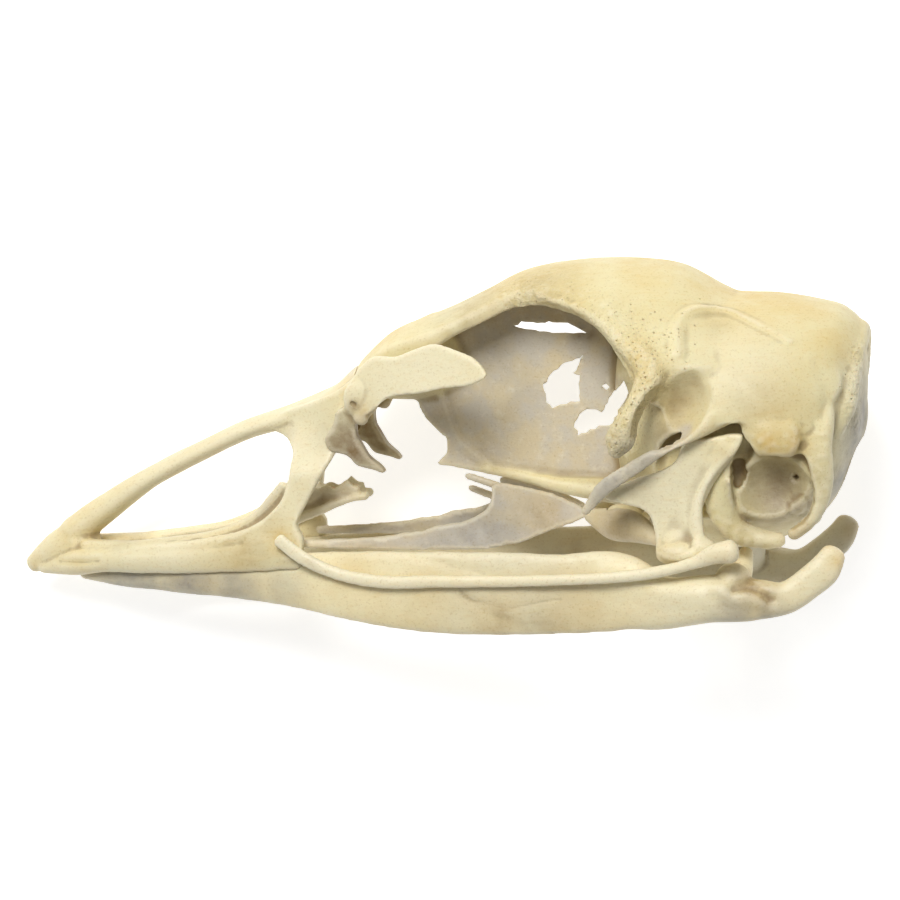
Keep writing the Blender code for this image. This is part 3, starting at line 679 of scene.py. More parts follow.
# %% Fuse the cranium
def soft_cuts():
    ear = sheet([
        (35.9, 3.2), (36.9, 3.6), (38.0, 1.9), (40.6, 1.2), (43.4, 1.9), (44.0, 0.6), (44.2, -2.4),
        (43.2, -5.2), (41.6, -6.9), (39.6, -7.5), (37.4, -7.4), (35.7, -5.8), (35.0, -3.2), (35.0, 0.2),
    ], lambda x, z: -17.0 - 0.10 * (x - 39), half=4.7)
    ear_bowl = lump((39.8, -14.6, -2.9), (5.0, 4.8, 4.9))
    temple = lump((29.3, -20.6, 7.9), (4.2, 6.2, 7.8), (0, 38, 0))
    foramen = lump((50.2, 0, -1.8), (8.5, 3.7, 3.5), (0, 20, 0))
    ear_pit = jagged([(34.9, 1.0), (36.2, 0.9), (36.8, -0.4), (36.2, -2.4), (35.2, -2.6), (34.8, -0.8)],
                     lambda x, z: -12.4, half=1.9, bite=0.15, seed=4)
    windows = [lump((40.1, -11.2, 2.0), (0.55, 1.8, 0.4)), lump((42.3, -11.2, -1.2), (0.4, 1.8, 0.5))]
    return [*both(ear, ear_bowl, ear_pit, *windows, temple), foramen]


cranium_clay = [shell, septum, rostrum, condyle, *both(orbit_rim, splint, plate, arch, *ear_pieces)]
cranium = fused("cranium_bone", cranium_clay, soft_cuts())

# %% [markdown]
# The windows in the wall between the eyes are cut after the last rubbing, with jagged sheets, so that their
# edges stay as sharp as broken eggshell.

# %% Broken windows in the wall between the eyes
def slanted(cutter):
    """The same cutter, leaning back and up on its way in, like the break that it cuts."""
    cutter.data.transform(Matrix(((1, -0.14, 0, 0), (0, 1, 0, 0), (0, -0.12, 1, 0), (0, 0, 0, 1))))
    return cutter


def septum_windows():
    slit = [(7.7, 15.0), (8.6, 15.6), (11, 15.5), (14.2, 15.6), (15.2, 15.0), (16.4, 14.4), (13.4, 14.3),
            (10.8, 14.5)]
    window = [(16.1, 11.6), (14.8, 9.5), (15.7, 9.2), (15.3, 8.1), (15.8, 7.2), (15.6, 6.3),
              (14.6, 5.9), (13.4, 5.6), (12.3, 5.2), (11.7, 6.0), (11.3, 8.0), (12.1, 9.4), (13.8, 10.7)]
    rear_window = [(22.2, 9.4), (21.8, 7.5), (20.7, 5.5), (19.2, 3.4), (18.0, 3.2), (16.4, 2.5), (15.4, 2.0),
                   (15.0, 3.6), (16.0, 5.0), (17.1, 5.3), (18.2, 4.9), (18.9, 6.1), (20.0, 7.7), (20.9, 9.0)]
    pinhole = [(18.3, 8.0), (18.8, 8.3), (19.2, 7.9), (18.8, 7.5)]
    return [slanted(jagged(outline, midline, half, bite, seed)) for outline, half, bite, seed in (
        (slit, 2, 0.05, 3), (window, 2, 0.12, 5), (rear_window, 8, 0.1, 9), (pinhole, 2, 0.03, 2))]


carve(cranium, septum_windows())
keep_largest(cranium)
print("after the windows:", len(cranium.data.polygons), "faces")

# %% [markdown]
# ## The upper beak
# Premaxilla, nasals and maxillae of an old bird are fused into one light frame: the culmen on top, a bar on
# each side behind the nostril, and the edge of the bill below. The middle of the frame is open.

# %% The bar behind the nostril
def nasal_lean(x, z):
    """The sideways offset of the bar behind the nostril, which leans in to meet the top of the beak."""
    below = -7.6 + 0.08 * z - 0.16 * min(0, x + 17)
    above = np.interp(x, (-22, -19, -16, -12, -10), (-1.4, -3.0, -4.8, -6.2, -5.8))
    share = (z + 2.6) / 7 + 0.2 * max(0.0, -18 - x) * min(1.0, max(0.0, z / 2))
    share = min(1.0, max(0.0, share))
    return float(below + (above - below) * share**2 * (3 - 2 * share))


def nasal_bar(narrowed):
    """The left bar behind the nostril. At its narrowest its rear edge lies narrowed mm further forward."""
    front = [
        (-20, -12.4), (-25, -12), (-27, -10.7), (-23.8, -9.2), (-20.8, -7.2), (-19.2, -5.4),
        (-18.4, -3.4), (-18.1, -1.4), (-18.0, 0.2), (-18.7, 1.3), (-20.4, 2.1), (-23.0, 2.6),
    ]
    rear = [(-11.9, 4.6), (-11.7, 2.6), (-13.0, -0.1), (-14.6, -2.8), (-16.1, -5.8), (-17.2, -8.4)]
    rear = [(x - narrowed * math.exp(-((z + 1) / 5) ** 2), z) for x, z in rear]
    top = [(-23.0, 3.1), (-20, 4.6), (-16, 6.2), (-12.4, 7.8), (-9.8, 10.0), (-11.0, 7.2)]
    return sheet([*top, *rear, (-16.4, -9.8), (-16.6, -11.6), *front], nasal_lean, half=0.85)


print("the bar leans in from", nasal_lean(-16, -6), "to", nasal_lean(-16, 5), "mm from the midline")

# %% The upper beak
def beak_frame():
    tip = bar([(-51.1, 0, -14.75, 0.9, 1.2), (-48.6, 0, -13.4, 2.1, 2.25), (-45.6, 0, -12.1, 2.8, 3.0)])
    culmen = bar([
        (-46, 0, -10.8, 2.6, 1.95), (-41.6, 0, -7.4, 2.6, 1.7), (-36.7, 0, -4.05, 2.5, 1.28),
        (-30.5, 0, -0.7, 2.5, 1.18), (-24.4, 0, 2.2, 2.8, 1.2), (-19.4, 0, 3.85, 3.9, 1.35),
        (-15.8, 0, 5.2, 5.2, 1.45), (-12.9, 0, 6.6, 6.4, 1.5), (-10.5, 0, 8.6, 5.2, 1.6),
    ])
    palate = bar([
        (-48, 0, -14.0, 1.6, 0.8), (-44, 0, -13.4, 3.2, 0.8), (-40, 0, -13.0, 4.0, 0.7),
        (-36, 0, -12.6, 4.4, 0.6),
    ])
    edge = bar([
        (-49.6, -0.9, -15.1, 0.8, 0.8), (-45, -2.6, -14.1, 1.2, 1.6), (-41, -3.7, -13.6, 1.3, 1.5),
        (-36, -5.0, -13.15, 1.2, 1.85), (-31, -6.0, -12.75, 1.0, 2.0), (-25, -7.2, -11.9, 0.9, 2.4),
        (-20.5, -8.0, -11.3, 0.9, 2.7), (-17.0, -8.5, -12.4, 0.7, 1.3),
    ])
    shelf = bar([
        (-44, -2.2, -12.0, 1.0, 0.7), (-37.5, -3.9, -11.8, 1.0, 0.7), (-32.6, -4.4, -11.1, 0.9, 0.7),
        (-27.3, -5.0, -10.1, 0.8, 0.7), (-24.2, -5.6, -8.8, 0.7, 0.7), (-22.3, -6.1, -7.5, 0.6, 0.7),
        (-20.6, -6.9, -5.6, 0.5, 0.7), (-19.0, -7.5, -3.6, 0.4, 0.6),
    ])
    narrow = nasal_bar(2.0)
    nasals = [nasal_bar(0), mirrored(narrow)]
    remove([narrow])
    return [tip, culmen, palate, *both(edge, shelf), *nasals]


def palate_tongues():
    """The ragged tongues of the maxillae that reach back under the nose."""
    spoon = bar([
        (-21, -7.2, -9.4, 0.7, 1.2), (-18.4, -5.6, -8.2, 0.6, 0.8), (-15.8, -3.4, -7.4, 0.5, 0.55),
        (-13.1, -2.2, -6.3, 0.5, 0.5), (-11.1, -1.8, -5.7, 0.6, 0.45), (-10.1, -1.8, -5.5, 0.7, 0.6),
    ])
    frill = jagged([
        (-19.6, -5.0), (-16.3, -4.3), (-15.7, -4.6), (-15.0, -4.3), (-14.3, -4.4), (-14.1, -4.9),
        (-13.5, -4.6), (-12.8, -3.9), (-12.3, -3.7), (-11.7, -3.9), (-11.3, -4.4), (-10.7, -4.2),
        (-10.6, -4.6), (-11.1, -5.0), (-12.3, -5.4), (-13.5, -6.2), (-15.6, -7.2), (-18.4, -8.6), (-20, -8.6),
    ], lambda x, z: -1.7 + 0.9 * min(0.0, x + 15), half=0.5, bite=0.1)
    return both(spoon, frill)


upper_beak = fused("upper_beak_bone", [*beak_frame(), *palate_tongues()], neighbours=[cranium])

# %% [markdown]
# ## The lacrimals
# In front of each eye a small bone flares out into a flat, sharp-edged blade and hangs a thorn down behind
# the nose. Both are flat and crisp, so they are sheets, and two small lumps join them to the skull.

# %% The left lacrimal, and its mirror image
def lacrimal():
    blade = sheet([
        (-10.4, 9.6), (-8, 12.0), (-5.1, 12.2), (-2.6, 13.2), (-0.3, 13.9), (2.2, 13.4), (5.4, 12.0),
        (6.4, 10.7), (4.6, 9.5), (1.5, 8.9), (-2, 8.1), (-6.3, 7.1), (-8.0, 5.6), (-9.6, 4.9),
        (-11.4, 7.2),
    ], lambda x, z: -13.6 - 0.39 * x + 0.16 * z, half=0.45)
    stub = lump((-9.4, -8.6, 7.0), (2.2, 0.85, 2.4))
    foot = lump((-9.4, -8.8, 4.9), (1.0, 0.8, 1.1))
    thorn = sheet([
        (-12.3, 5.6), (-13.0, 3.6), (-14.0, 1.7), (-13.2, 0.5), (-11.6, 0.2), (-10.8, -0.3),
        (-10.4, -1.0), (-9.4, -1.4), (-8.3, -1.6), (-6.6, -2.1), (-7.4, -1.0), (-8.5, -0.2), (-9.0, 0.6),
        (-9.6, 1.6), (-10.1, 2.4), (-10.2, 3.6), (-10.2, 5.6),
    ], lambda x, z: -7.2 + 0.1 * (4 - z), half=1.1)
    made = fused("lacrimal_left_bone", [blade, stub, foot, thorn], neighbours=[cranium, upper_beak])
    carve(made, [lump((-10.3, -9.6, 6.4), (0.5, 0.6, 0.4), (0, 30, 0))])
    return made


lacrimal_left = lacrimal()
lacrimal_right = right_of(lacrimal_left)

# %% [markdown]
# ## The quadrates
# The quadrate hangs from the skull in front of the ear and carries the jaw. It is a stem with a foot and a
# forward-pointing wing, the shape of a little axe.

# %% The left quadrate, and its mirror image
def quadrate():
    wing = sheet([
        (36.4, 4.2), (33.1, 3.9), (29.3, 2.8), (28.6, 1.0), (26.8, -0.2), (24.2, -1.1), (22.4, -1.9),
        (20.4, -2.0), (20.0, -3.4), (22.6, -4.3), (25.2, -5.2), (26.2, -8.0), (26.4, -10.6),
        (30.2, -11.2), (32, -9.7), (31.8, -6.5), (31.8, -3.5), (33.6, 0.1), (35.6, 2.2),
    ], lambda x, z: -10.8 - 0.115 * x, half=0.8)
    stem = bar([
        (34.3, -14.7, 2.8, 1.1, 1.5), (31.4, -14.2, -1.2, 0.9, 1.7), (29.3, -13.8, -5.2, 0.9, 2.2),
        (29.0, -14.0, -8.8, 1.3, 2.5),
    ])
    foot = lump((29.9, -13.6, -9.8), (3.7, 3.0, 1.7))
    heel = lump((31.8, -15.0, -9.3), (1.7, 1.3, 1.4))
    return fused("quadrate_left_bone", [wing, stem, foot, heel], neighbours=[cranium])


quadrate_left = quadrate()
quadrate_right = right_of(quadrate_left)

# %% [markdown]
# ## The lower jaw
# Each branch of the jaw is a deep, thin bar that bends down in the middle, thickens into the cup for the
# quadrate and ends in an upturned hook. An arm reaches inwards from the cup.

# %% The lower jaw
def mandible():
    branch = bar([
        (-44.4, -0.8, -15.6, 1.1, 0.8), (-41, -1.6, -15.65, 1.5, 1.25), (-36.5, -3.0, -15.5, 1.3, 1.65),
        (-32, -4.5, -15.4, 1.0, 1.95), (-24.5, -6.0, -15.2, 1.0, 2.5), (-17, -7.6, -15.1, 1.0, 3.4),
        (-9.5, -9.2, -15.4, 1.0, 4.3), (-3.2, -10.3, -15.65, 1.0, 4.75), (7.6, -11.7, -15.5, 1.0, 5.0),
        (15, -12.4, -15.3, 1.1, 4.75), (22.4, -13, -14.9, 1.3, 4.6), (27, -13.4, -15.9, 1.9, 3.25),
        (33, -13.8, -15.25, 2.8, 2.8), (38, -13.8, -15.3, 2.2, 2.45), (41.3, -13.6, -15.05, 1.6, 1.95),
        (44.1, -13.5, -13.2, 1.3, 1.9), (46.0, -13.5, -11.5, 1.2, 1.9), (46.95, -13.4, -9.8, 0.95, 1.5),
    ], square=2.7)
    cup = lump((35.2, -13.4, -13.2), (2.2, 2.4, 2.2))
    inner_arm = bar([
        (35.4, -12, -14.4, 1.6, 1.5), (36.0, -9.4, -12.4, 1.3, 1.2), (36.2, -7.2, -10.8, 0.9, 0.8),
    ], side=(1, 0, 0))
    return fused("mandible_bone", both(branch, cup, inner_arm),
                 neighbours=[upper_beak, quadrate_left, quadrate_right])


jaw = mandible()

# %% [markdown]
# ## The thin bones of the cheek and the palate
# A rod as thin as a match, the jugal bar, runs from the beak to the quadrate. In the palate the two
# palatines are bent sheets, the pterygoids are short struts, and the vomer is a pair of splinters.

# %% The jugal bars
def jugal_bar():
    rod = bar([
        (-19.2, -10.0, -9.8, 0.35, 0.9), (-16.5, -10.1, -11.8, 0.4, 0.9), (-13, -10.4, -13.4, 0.5, 0.8),
        (-6.8, -11.5, -14.4, 0.5, 0.85), (0, -12.5, -14.1, 0.5, 0.8), (7.8, -13.4, -13.8, 0.5, 0.75),
        (15, -14.6, -13.3, 0.5, 0.7), (20, -15.2, -12.9, 0.55, 0.7), (25.7, -16.0, -12.1, 0.6, 0.75),
        (31.5, -17.0, -10.4, 0.7, 0.85), (33.6, -17.5, -9.4, 0.9, 1.25), (35.3, -17.6, -9.1, 1.0, 1.45),
    ])
    return fused("jugal_bar_left_bone", [rod], neighbours=[upper_beak, quadrate_left, jaw], rubs=1)


jugal_left = jugal_bar()
jugal_right = right_of(jugal_left)

# %% The palatines, pterygoids and vomer
def palatine_lean(x, z):
    """The sideways offset of the left palatine, whose upper wing leans in towards the midline."""
    foot = np.interp(x, (-17, 0, 5, 17), (-6, -6.9, -6.4, -2.6))
    return float(foot + np.interp(x, (0, 6), (0.12, 0.5)) * (z + 9))


def palatine():
    blade = jagged([
        (-17.4, -10.4), (-12, -10.1), (-6.5, -9.6), (-4.4, -9.1), (-2.2, -8.9), (-0.5, -8.2), (2.2, -7.8),
        (3.8, -7.2), (5.2, -6.4), (5.7, -4.8), (5.4, -3.7), (6.6, -3.4), (9, -3.9), (12.5, -4.7),
        (15.8, -6.2), (17.0, -7.0), (16.6, -7.6), (14.9, -8.2), (9.3, -10.2), (5, -10.9), (-1, -11.1),
        (-8, -11.2), (-17.4, -11.3),
    ], palatine_lean, half=0.48, bite=0.04)
    return fused("palatine_left_bone", [blade], neighbours=[cranium, upper_beak, quadrate_left, jaw], rubs=1)


def pterygoid(neighbours):
    strut = bar([
        (17.4, -3.0, -7.2, 0.9, 0.9), (20, -5.2, -7.8, 1.9, 1.3), (23, -7.8, -7.8, 1.9, 1.3),
        (26.0, -10.4, -8.8, 0.9, 0.9),
    ], side=(0, 0, 1))
    return fused("pterygoid_left_bone", [strut], neighbours=neighbours, rubs=1)


def vomer(neighbours):
    left = bar([(2.4, -1.5, -2.9, 0.4, 0.45), (5.6, -1.5, -3.9, 0.45, 0.5), (9.4, -0.3, -5.6, 0.5, 0.5)])
    right = bar([(2.4, 1.4, -4.7, 0.4, 0.45), (5.4, 1.2, -5.7, 0.45, 0.5), (9.4, 0.3, -6.0, 0.5, 0.5)])
    return fused("vomer_bone", [left, right], neighbours=neighbours, rubs=1)


palatine_left = palatine()
palatine_right = right_of(palatine_left)
pterygoid_left = pterygoid([cranium, quadrate_left, palatine_left])
pterygoid_right = right_of(pterygoid_left)
nose_divider = vomer([cranium, palatine_left, palatine_right])

# %% [markdown]
# ## Relief on the bones
# Now the surface is worked, one mark after another: what a real skull shows as a groove, a rib, a line
# where a muscle ended or a patch of coarse grain. A path's numbers are its width, its depth and how far
# from the midline it starts to count.

# %% Relief of the cranium
def granular_zone(points):
    """Where the cranium is granular: on the rim of the eye socket and the process behind it."""
    rim = [(9, 19.6), (15, 19.4), (20, 16.6), (24, 13.0), (25.5, 11), (24.2, 8), (22.6, 4.5), (21.5, 2)]
    strip = [(49.2, 13.5), (48.8, 5)]
    away = np.minimum(distance_to(points, rim) / 2.6, distance_to(points, strip) / 1.0)
    return np.exp(-(away**2)) * (np.abs(points[:, 1]) > 4)


points = points_of(cranium)
roughen(cranium, 1.1, 0.10, granular_zone(points))
roughen(cranium, 0.6, 0.06, granular_zone(points))
# All of it is gently uneven.
roughen(cranium, 7.0, 0.10)
roughen(cranium, 2.2, 0.03)
flakes = [(32.2, -5.7), (34.5, -7.3), (35.8, -8.6), (38.2, -9.6), (40.6, -9.2)]
roughen(cranium, 0.9, 0.16, near_path(points_of(cranium), flakes, 1.3))
oval = [(41.9, -3.9), (43.2, -3.2), (43.9, -4.4), (43.0, -5.9), (41.5, -5.6), (41.4, -4.4)]
press(cranium, oval, 0.3, 0.14, 8)
# The muscle's line over the temple, and the groove in front of the crest.
press(cranium, [(29.8, 12.2), (30.0, 14.6), (32.0, 15.8), (35.5, 15.0), (39, 13.4), (43, 11.4)], 1.8, 0.06, 5)
press(cranium, [(44.6, 12.4), (46.0, 9.0), (45.6, 6.4)], 0.7, 0.16, 5)
knob_and_column = [(38.4, 3.6), (42.6, 3.6), (45.0, 4.4), (45.2, -1.0), (43.4, -6.4)]
roughen(cranium, 0.8, 0.10, near_path(points_of(cranium), knob_and_column, 1.5))
# Two ribs on the wall between the eyes.
press(cranium, [(-1.0, 6.7), (1.1, 1.4), (4.7, -1.7)], 0.5, -0.14, 0)
press(cranium, [(7.0, 14.6), (8.2, 9.8), (6.4, 5.0)], 1.0, -0.10, 0)
print("granular share:", round(float(granular_zone(points).mean()), 3))

# %% Relief of the jaw, the beak and the smaller bones
for path, width, depth in (
    # The long groove, the fine line above it, and the dent near the upper edge.
    ([(2.9, -15.8), (5.8, -17.4), (8.2, -18.4), (11.1, -19.3), (15.5, -19.2)], 0.7, 0.12),
    ([(2.7, -14.8), (4.0, -16.1), (5.8, -16.5), (8.6, -17.1), (10.7, -16.6), (13.6, -15.9),
      (15.0, -15.7)], 0.3, 0.07),
    ([(-2.8, -11.3), (2.0, -12.3), (5.7, -13.0)], 0.6, 0.10),
    # The pit behind the cup, the hollow under it, and the swelling in front of it.
    ([(35.6, -13.7), (37.2, -13.5), (38.6, -14.0), (39.8, -14.9)], 0.7, 0.5),
    ([(33.4, -14.4), (35.6, -16.2), (39.0, -16.6)], 1.0, 0.35),
    ([(20, -12.4), (27, -14.4), (33.2, -14.2)], 1.4, -0.25),
):
    press(jaw, path, width, depth, 5)
press(upper_beak, [(-47.3, -14.1), (-45.1, -14.0), (-42.3, -13.7)], 0.4, 0.2, 0.5)
press(upper_beak, [(-38, -12.3), (-30, -11.6), (-24, -10.6)], 0.5, 0.12, 2)
for path, width, depth in (
    # The hollow of the stem, the ridge behind it, and the groove over the foot.
    ([(33.4, 1.6), (30.4, -2.0), (28.6, -6.0)], 1.8, 0.3),
    ([(35.4, 2.8), (32.2, -1.4), (31.0, -5.4), (31.2, -8.4)], 0.6, -0.22),
    ([(26.6, -9.4), (28.4, -9.9), (30.4, -8.9)], 0.3, 0.1),
):
    press(quadrate_left, path, width, depth, 5)
for piece, height in ((jaw, 0.10), (upper_beak, 0.08), (lacrimal_left, 0.08), (quadrate_left, 0.08)):
    roughen(piece, 4.0, height)
    roughen(piece, 1.4, height / 4)
worked = ((lacrimal_left, lacrimal_right), (quadrate_left, quadrate_right), (jugal_left, jugal_right))
for left, right in worked:
    set_points(right, points_of(left) * (1, -1, 1))
print("relief on", jaw.name, upper_beak.name, quadrate_left.name)

# %% Pores of the cranium
def pore_zone(points, normals):
    rim = near_patch(points, 24.5, 15.4, 4.0, 2.4)
    process = 0.7 * near_path(points, [(26, 13), (25, 10), (22.6, 4.5)], 2.2)
    temple = 0.5 * near_patch(points, 29.5, 13.2, 1.6, 1.2)
    nape = 0.8 * near_patch(points, 48.2, 10.5, 1.0, 1.5)
    return np.clip(rim + process + temple + nape, 0, 1) * flank(points, normals, 5)


pierce(cranium, pore_zone(points_of(cranium), normals_of(cranium)),
       spacing=0.5, per_area=1.8, smallest=0.05, largest=0.13, seed=7)

# %% [markdown]
# ## What the surface knows of itself
# Old bone isn't one colour. Its hollows are painted darker, partly as dirt and partly as painted shade, its
# high places are rubbed, and where it is as thin as paper it looks grey. A mesh knows its own shape, so each
# point gets a few numbers before the skull is laid down: how far it bulges, how thin the bone is there, and
# how much of each stain, and of painted shade, lies in the places where this skull has them. The material
# reads these numbers by name.

# %% Bulge of every point
def blurred(piece, values, passes):
    """Rows of values, one for each point, averaged with their neighbours again and again."""
    pairs = np.empty(len(piece.data.edges) * 2, np.int32)
    piece.data.edges.foreach_get("vertices", pairs)
    first, second = pairs.reshape(-1, 2).T
    size = len(values)
    count = np.bincount(first, minlength=size) + np.bincount(second, minlength=size)
    for _ in range(passes):
        total = [
            np.bincount(first, column[second], size) + np.bincount(second, column[first], size)
            for column in values.T
        ]
        values = 0.4 * values + 0.6 * np.array(total).T / np.maximum(count, 1)[:, None]
    return values


def bulge_of(piece, passes):
    """How far each point stands out (+) of its surroundings or lies in a hollow (-), in mm."""
    points = points_of(piece)
    return ((points - blurred(piece, points, passes)) * normals_of(piece)).sum(axis=1)


print("the cranium bulges by up to", bulge_of(cranium, 6).max().round(2), "mm")

# %% Thinness of every point
JUST_INSIDE = 0.02


def thinness_of(piece, full=0.95, none=1.35):
    """1 where the bone is thinner than full, 0 where it is thicker than none."""
    tree = BVHTree.FromPolygons(
        [vertex.co for vertex in piece.data.vertices],
        [polygon.vertices for polygon in piece.data.polygons],
    )
    thickness = np.full(len(piece.data.vertices), none)
    for k, (point, normal) in enumerate(zip(points_of(piece), normals_of(piece))):
        hit = tree.ray_cast(Vector(point - JUST_INSIDE * normal), Vector(-normal), none)
        if hit[0] is not None:
            thickness[k] = hit[3]
    share = np.clip((none - thickness) / (none - full), 0, 1)
    return blurred(piece, share[:, None], 6)[:, 0]


print("a ray starts", JUST_INSIDE, "mm under the surface")

# %% Nearness to a stained place
def near(points, places):
    """How near each point is to any place: x, distance from the midline or None, z, reach and strength."""
    best = np.zeros(len(points))
    for x, y, z, reach, strength in places:
        away = (points[:, 0] - x) ** 2 + (points[:, 2] - z) ** 2
        if y is not None:
            away += (np.abs(points[:, 1]) - y) ** 2
        best = np.maximum(best, strength * np.exp(-away / reach**2))
    return best


print("points in the ear's pit:", int((near(points_of(cranium), [(40, 10, -2, 4.4, 1)]) > 0.5).sum()))

# %% [markdown]
# The stains come from named places: a brown one in the pit of the ear, a grey one at the front of the jaw,
# the yellow of old fat on the knobs. Many of the brown and grey places are partly painted shade: the pit of
# the ear, the roof of the eye socket, the valley at the temple, the back of the head, the thorn under the
# lacrimal's blade, and the front of the jaw, where the shadow of the beak falls.

# %% Stains and painted shade of the cranium
STAINS_AND_SHADE = {
    "cranium": {
        "pale": [(36, 13, 12, 6, 0.7), (49, 9, 10, 2.6, 0.9), (33, 14, 7, 3, 0.5)],
        # Brown is partly stain and partly painted shade: in the pit and windows of the ear, under the roof of
        # the eye socket, in the valley at the temple and round the rostrum.
        "brown_stain_and_shade": [
            (36.0, 11, -0.4, 1.7, 1.0), (40.1, 12, 2.0, 1.0, 0.8), (42.3, 11, -1.2, 0.8, 0.7),
            (40, 10, -2, 4.4, 0.6), (37, 12, -6, 3, 0.45), (-0.5, 0, 5.6, 2.2, 0.3), (4, 0, -0.6, 3, 0.3),
            (15.5, None, 14.3, 1.0, 0.8), (28.0, 14, 8.0, 3.2, 0.6), (27.5, 14, 4.0, 3.0, 0.6),
            (31.6, 13, 3.0, 2.0, 0.8), (24, 7, -3, 4, 0.5), (20, 3, -5, 4, 0.5), (3, 5, 18, 5, 0.4),
            (12, 6, 18.4, 5, 0.4), (19, 9, 14, 4, 0.3), (36, 8, -9, 3, 0.5), (23, 17, 4.6, 3, 0.4),
            (25, 16, 9, 2.4, 0.25), (38, 15, 8, 4, 0.24), (45, 13.6, -0.5, 3.4, 0.28),
            (42.8, 13, -6.8, 1.8, 0.45), (44.6, 12.4, 7.5, 1.2, 0.4), (33, 11, 16.6, 1.8, 0.22),
            (16.8, None, 14.0, 0.8, 0.7),
        ],
        # Grey at the back of the head and in the ear is painted shade. On the wall between the eyes it is
        # partly the thin bone's own grey and partly painted shade.
        "grey": [
            (49.5, 4, 4, 6.5, 1.0), (48.5, 6, -3, 5, 1.0), (46.6, 9, -5, 4, 0.9), (-4.4, 0, 6, 3, 0.5),
            (40.4, 10, -3.4, 3.8, 0.8), (6, 0, 11.6, 4.6, 0.5), (9, 0, 6, 3.4, 0.35),
            (25, 17, 1.1, 3.4, 0.85), (20.6, 16, -2.3, 3.2, 0.95), (42.4, 11, -4.8, 1.5, 0.8),
        ],
        "yellow": [
            (39.6, 16.8, 3.4, 2.0, 1.0), (42.6, 16, 3.4, 1.8, 0.9), (36, 0, 19, 9, 0.6),
            (24, 0, 23, 8, 0.45), (43.0, 13, -6.6, 1.8, 0.9), (45, 8, 13, 3, 0.6),
            (30.5, 15, 17.5, 2, 0.4), (-7, 2, 13, 4, 0.4), (25, 15.6, 12, 3, 0.35),
            (22, 16.8, 2.6, 1.6, 0.4), (40, 15.5, 7, 3.4, 0.45), (10, 3, 21.5, 7, 0.35),
            (43, 5, 18, 4, 0.5),
        ],
    },
}
print("stains of the cranium:", ", ".join(STAINS_AND_SHADE["cranium"]))

# %% Stains and painted shade of the beak and the jaw
STAINS_AND_SHADE.update({
    "upper_beak": {
        "pale": [(-17, 6, -1, 7, 0.8), (-30, 0, 1, 9, 0.7), (-33, 6, -13, 6, 0.8), (-49, 0, -14, 3, 0.5)],
        # The brown and grey on the ragged tongues under the nose are partly painted shade.
        "brown_stain_and_shade": [
            (-39, 3, -12, 2, 0.4), (-20, 7, -9, 2.4, 0.3), (-13, 6, -6, 3, 0.8),
            (-9.6, 5, -4.6, 1.5, 0.8), (-18, 8.4, -11.5, 2.4, 0.3), (-23, 8, -11.6, 3.4, 0.25),
            (-47.3, 1, -14.1, 0.5, 0.9), (-43.6, 1, -8.6, 0.6, 0.5),
        ],
        "grey": [(-14, 7, 2, 2.2, 0.25), (-13.5, 4, -5, 2.4, 0.5)],
        "yellow": [
            (-50.6, 0, -14.6, 1.4, 0.6), (-44, 0, -9.5, 3, 0.45), (-30, 0, 0.4, 5, 0.25),
            (-11, 4, 9, 3, 0.4), (-24, 8, -12.4, 3.4, 0.5), (-19.4, 9, -10, 1.8, 0.8),
        ],
    },
    "mandible": {
        "pale": [(44, 13, -12, 5, 0.9), (10, 11, -11.5, 9, 0.6), (30, 13, -15, 6, 0.8)],
        "brown_stain_and_shade": [
            (37.4, 15, -13.6, 1.5, 0.9), (39.0, 15, -14.6, 1.3, 0.8), (34, 13, -12, 2, 0.5),
            (13, 12, -19.2, 3, 0.25), (8, 12, -18.2, 1.4, 0.45), (14, 12, -13, 1, 0.4),
            (33, 10, -12, 3, 0.3), (4, 11, -15.6, 1.2, 0.35),
        ],
        # The grey at the front of the jaw is partly the bone's own grey and partly the painted shadow of the
        # beak.
        "grey": [
            (-38, 2, -16, 6, 1.0), (-31, 4, -16.4, 5, 1.0), (-25, 6, -16.4, 4, 0.8),
            (-19, 7, -16, 3, 0.5), (35.4, 15, -16.4, 2.6, 0.75), (39.6, 14, -17, 2.4, 0.7),
            (10, 6, -17, 14, 0.3),
        ],
        "yellow": [
            (47.6, 13.4, -10.4, 1.5, 1.0), (46.6, 13.4, -8.8, 1.3, 0.8), (38, 15, -13.8, 2.4, 0.6),
            (8, 12, -18.6, 3, 0.5), (-3, 11, -19, 4, 0.35), (16, 12, -19.4, 5, 0.35),
        ],
    },
})
print("brown places on the jaw:", len(STAINS_AND_SHADE["mandible"]["brown_stain_and_shade"]))

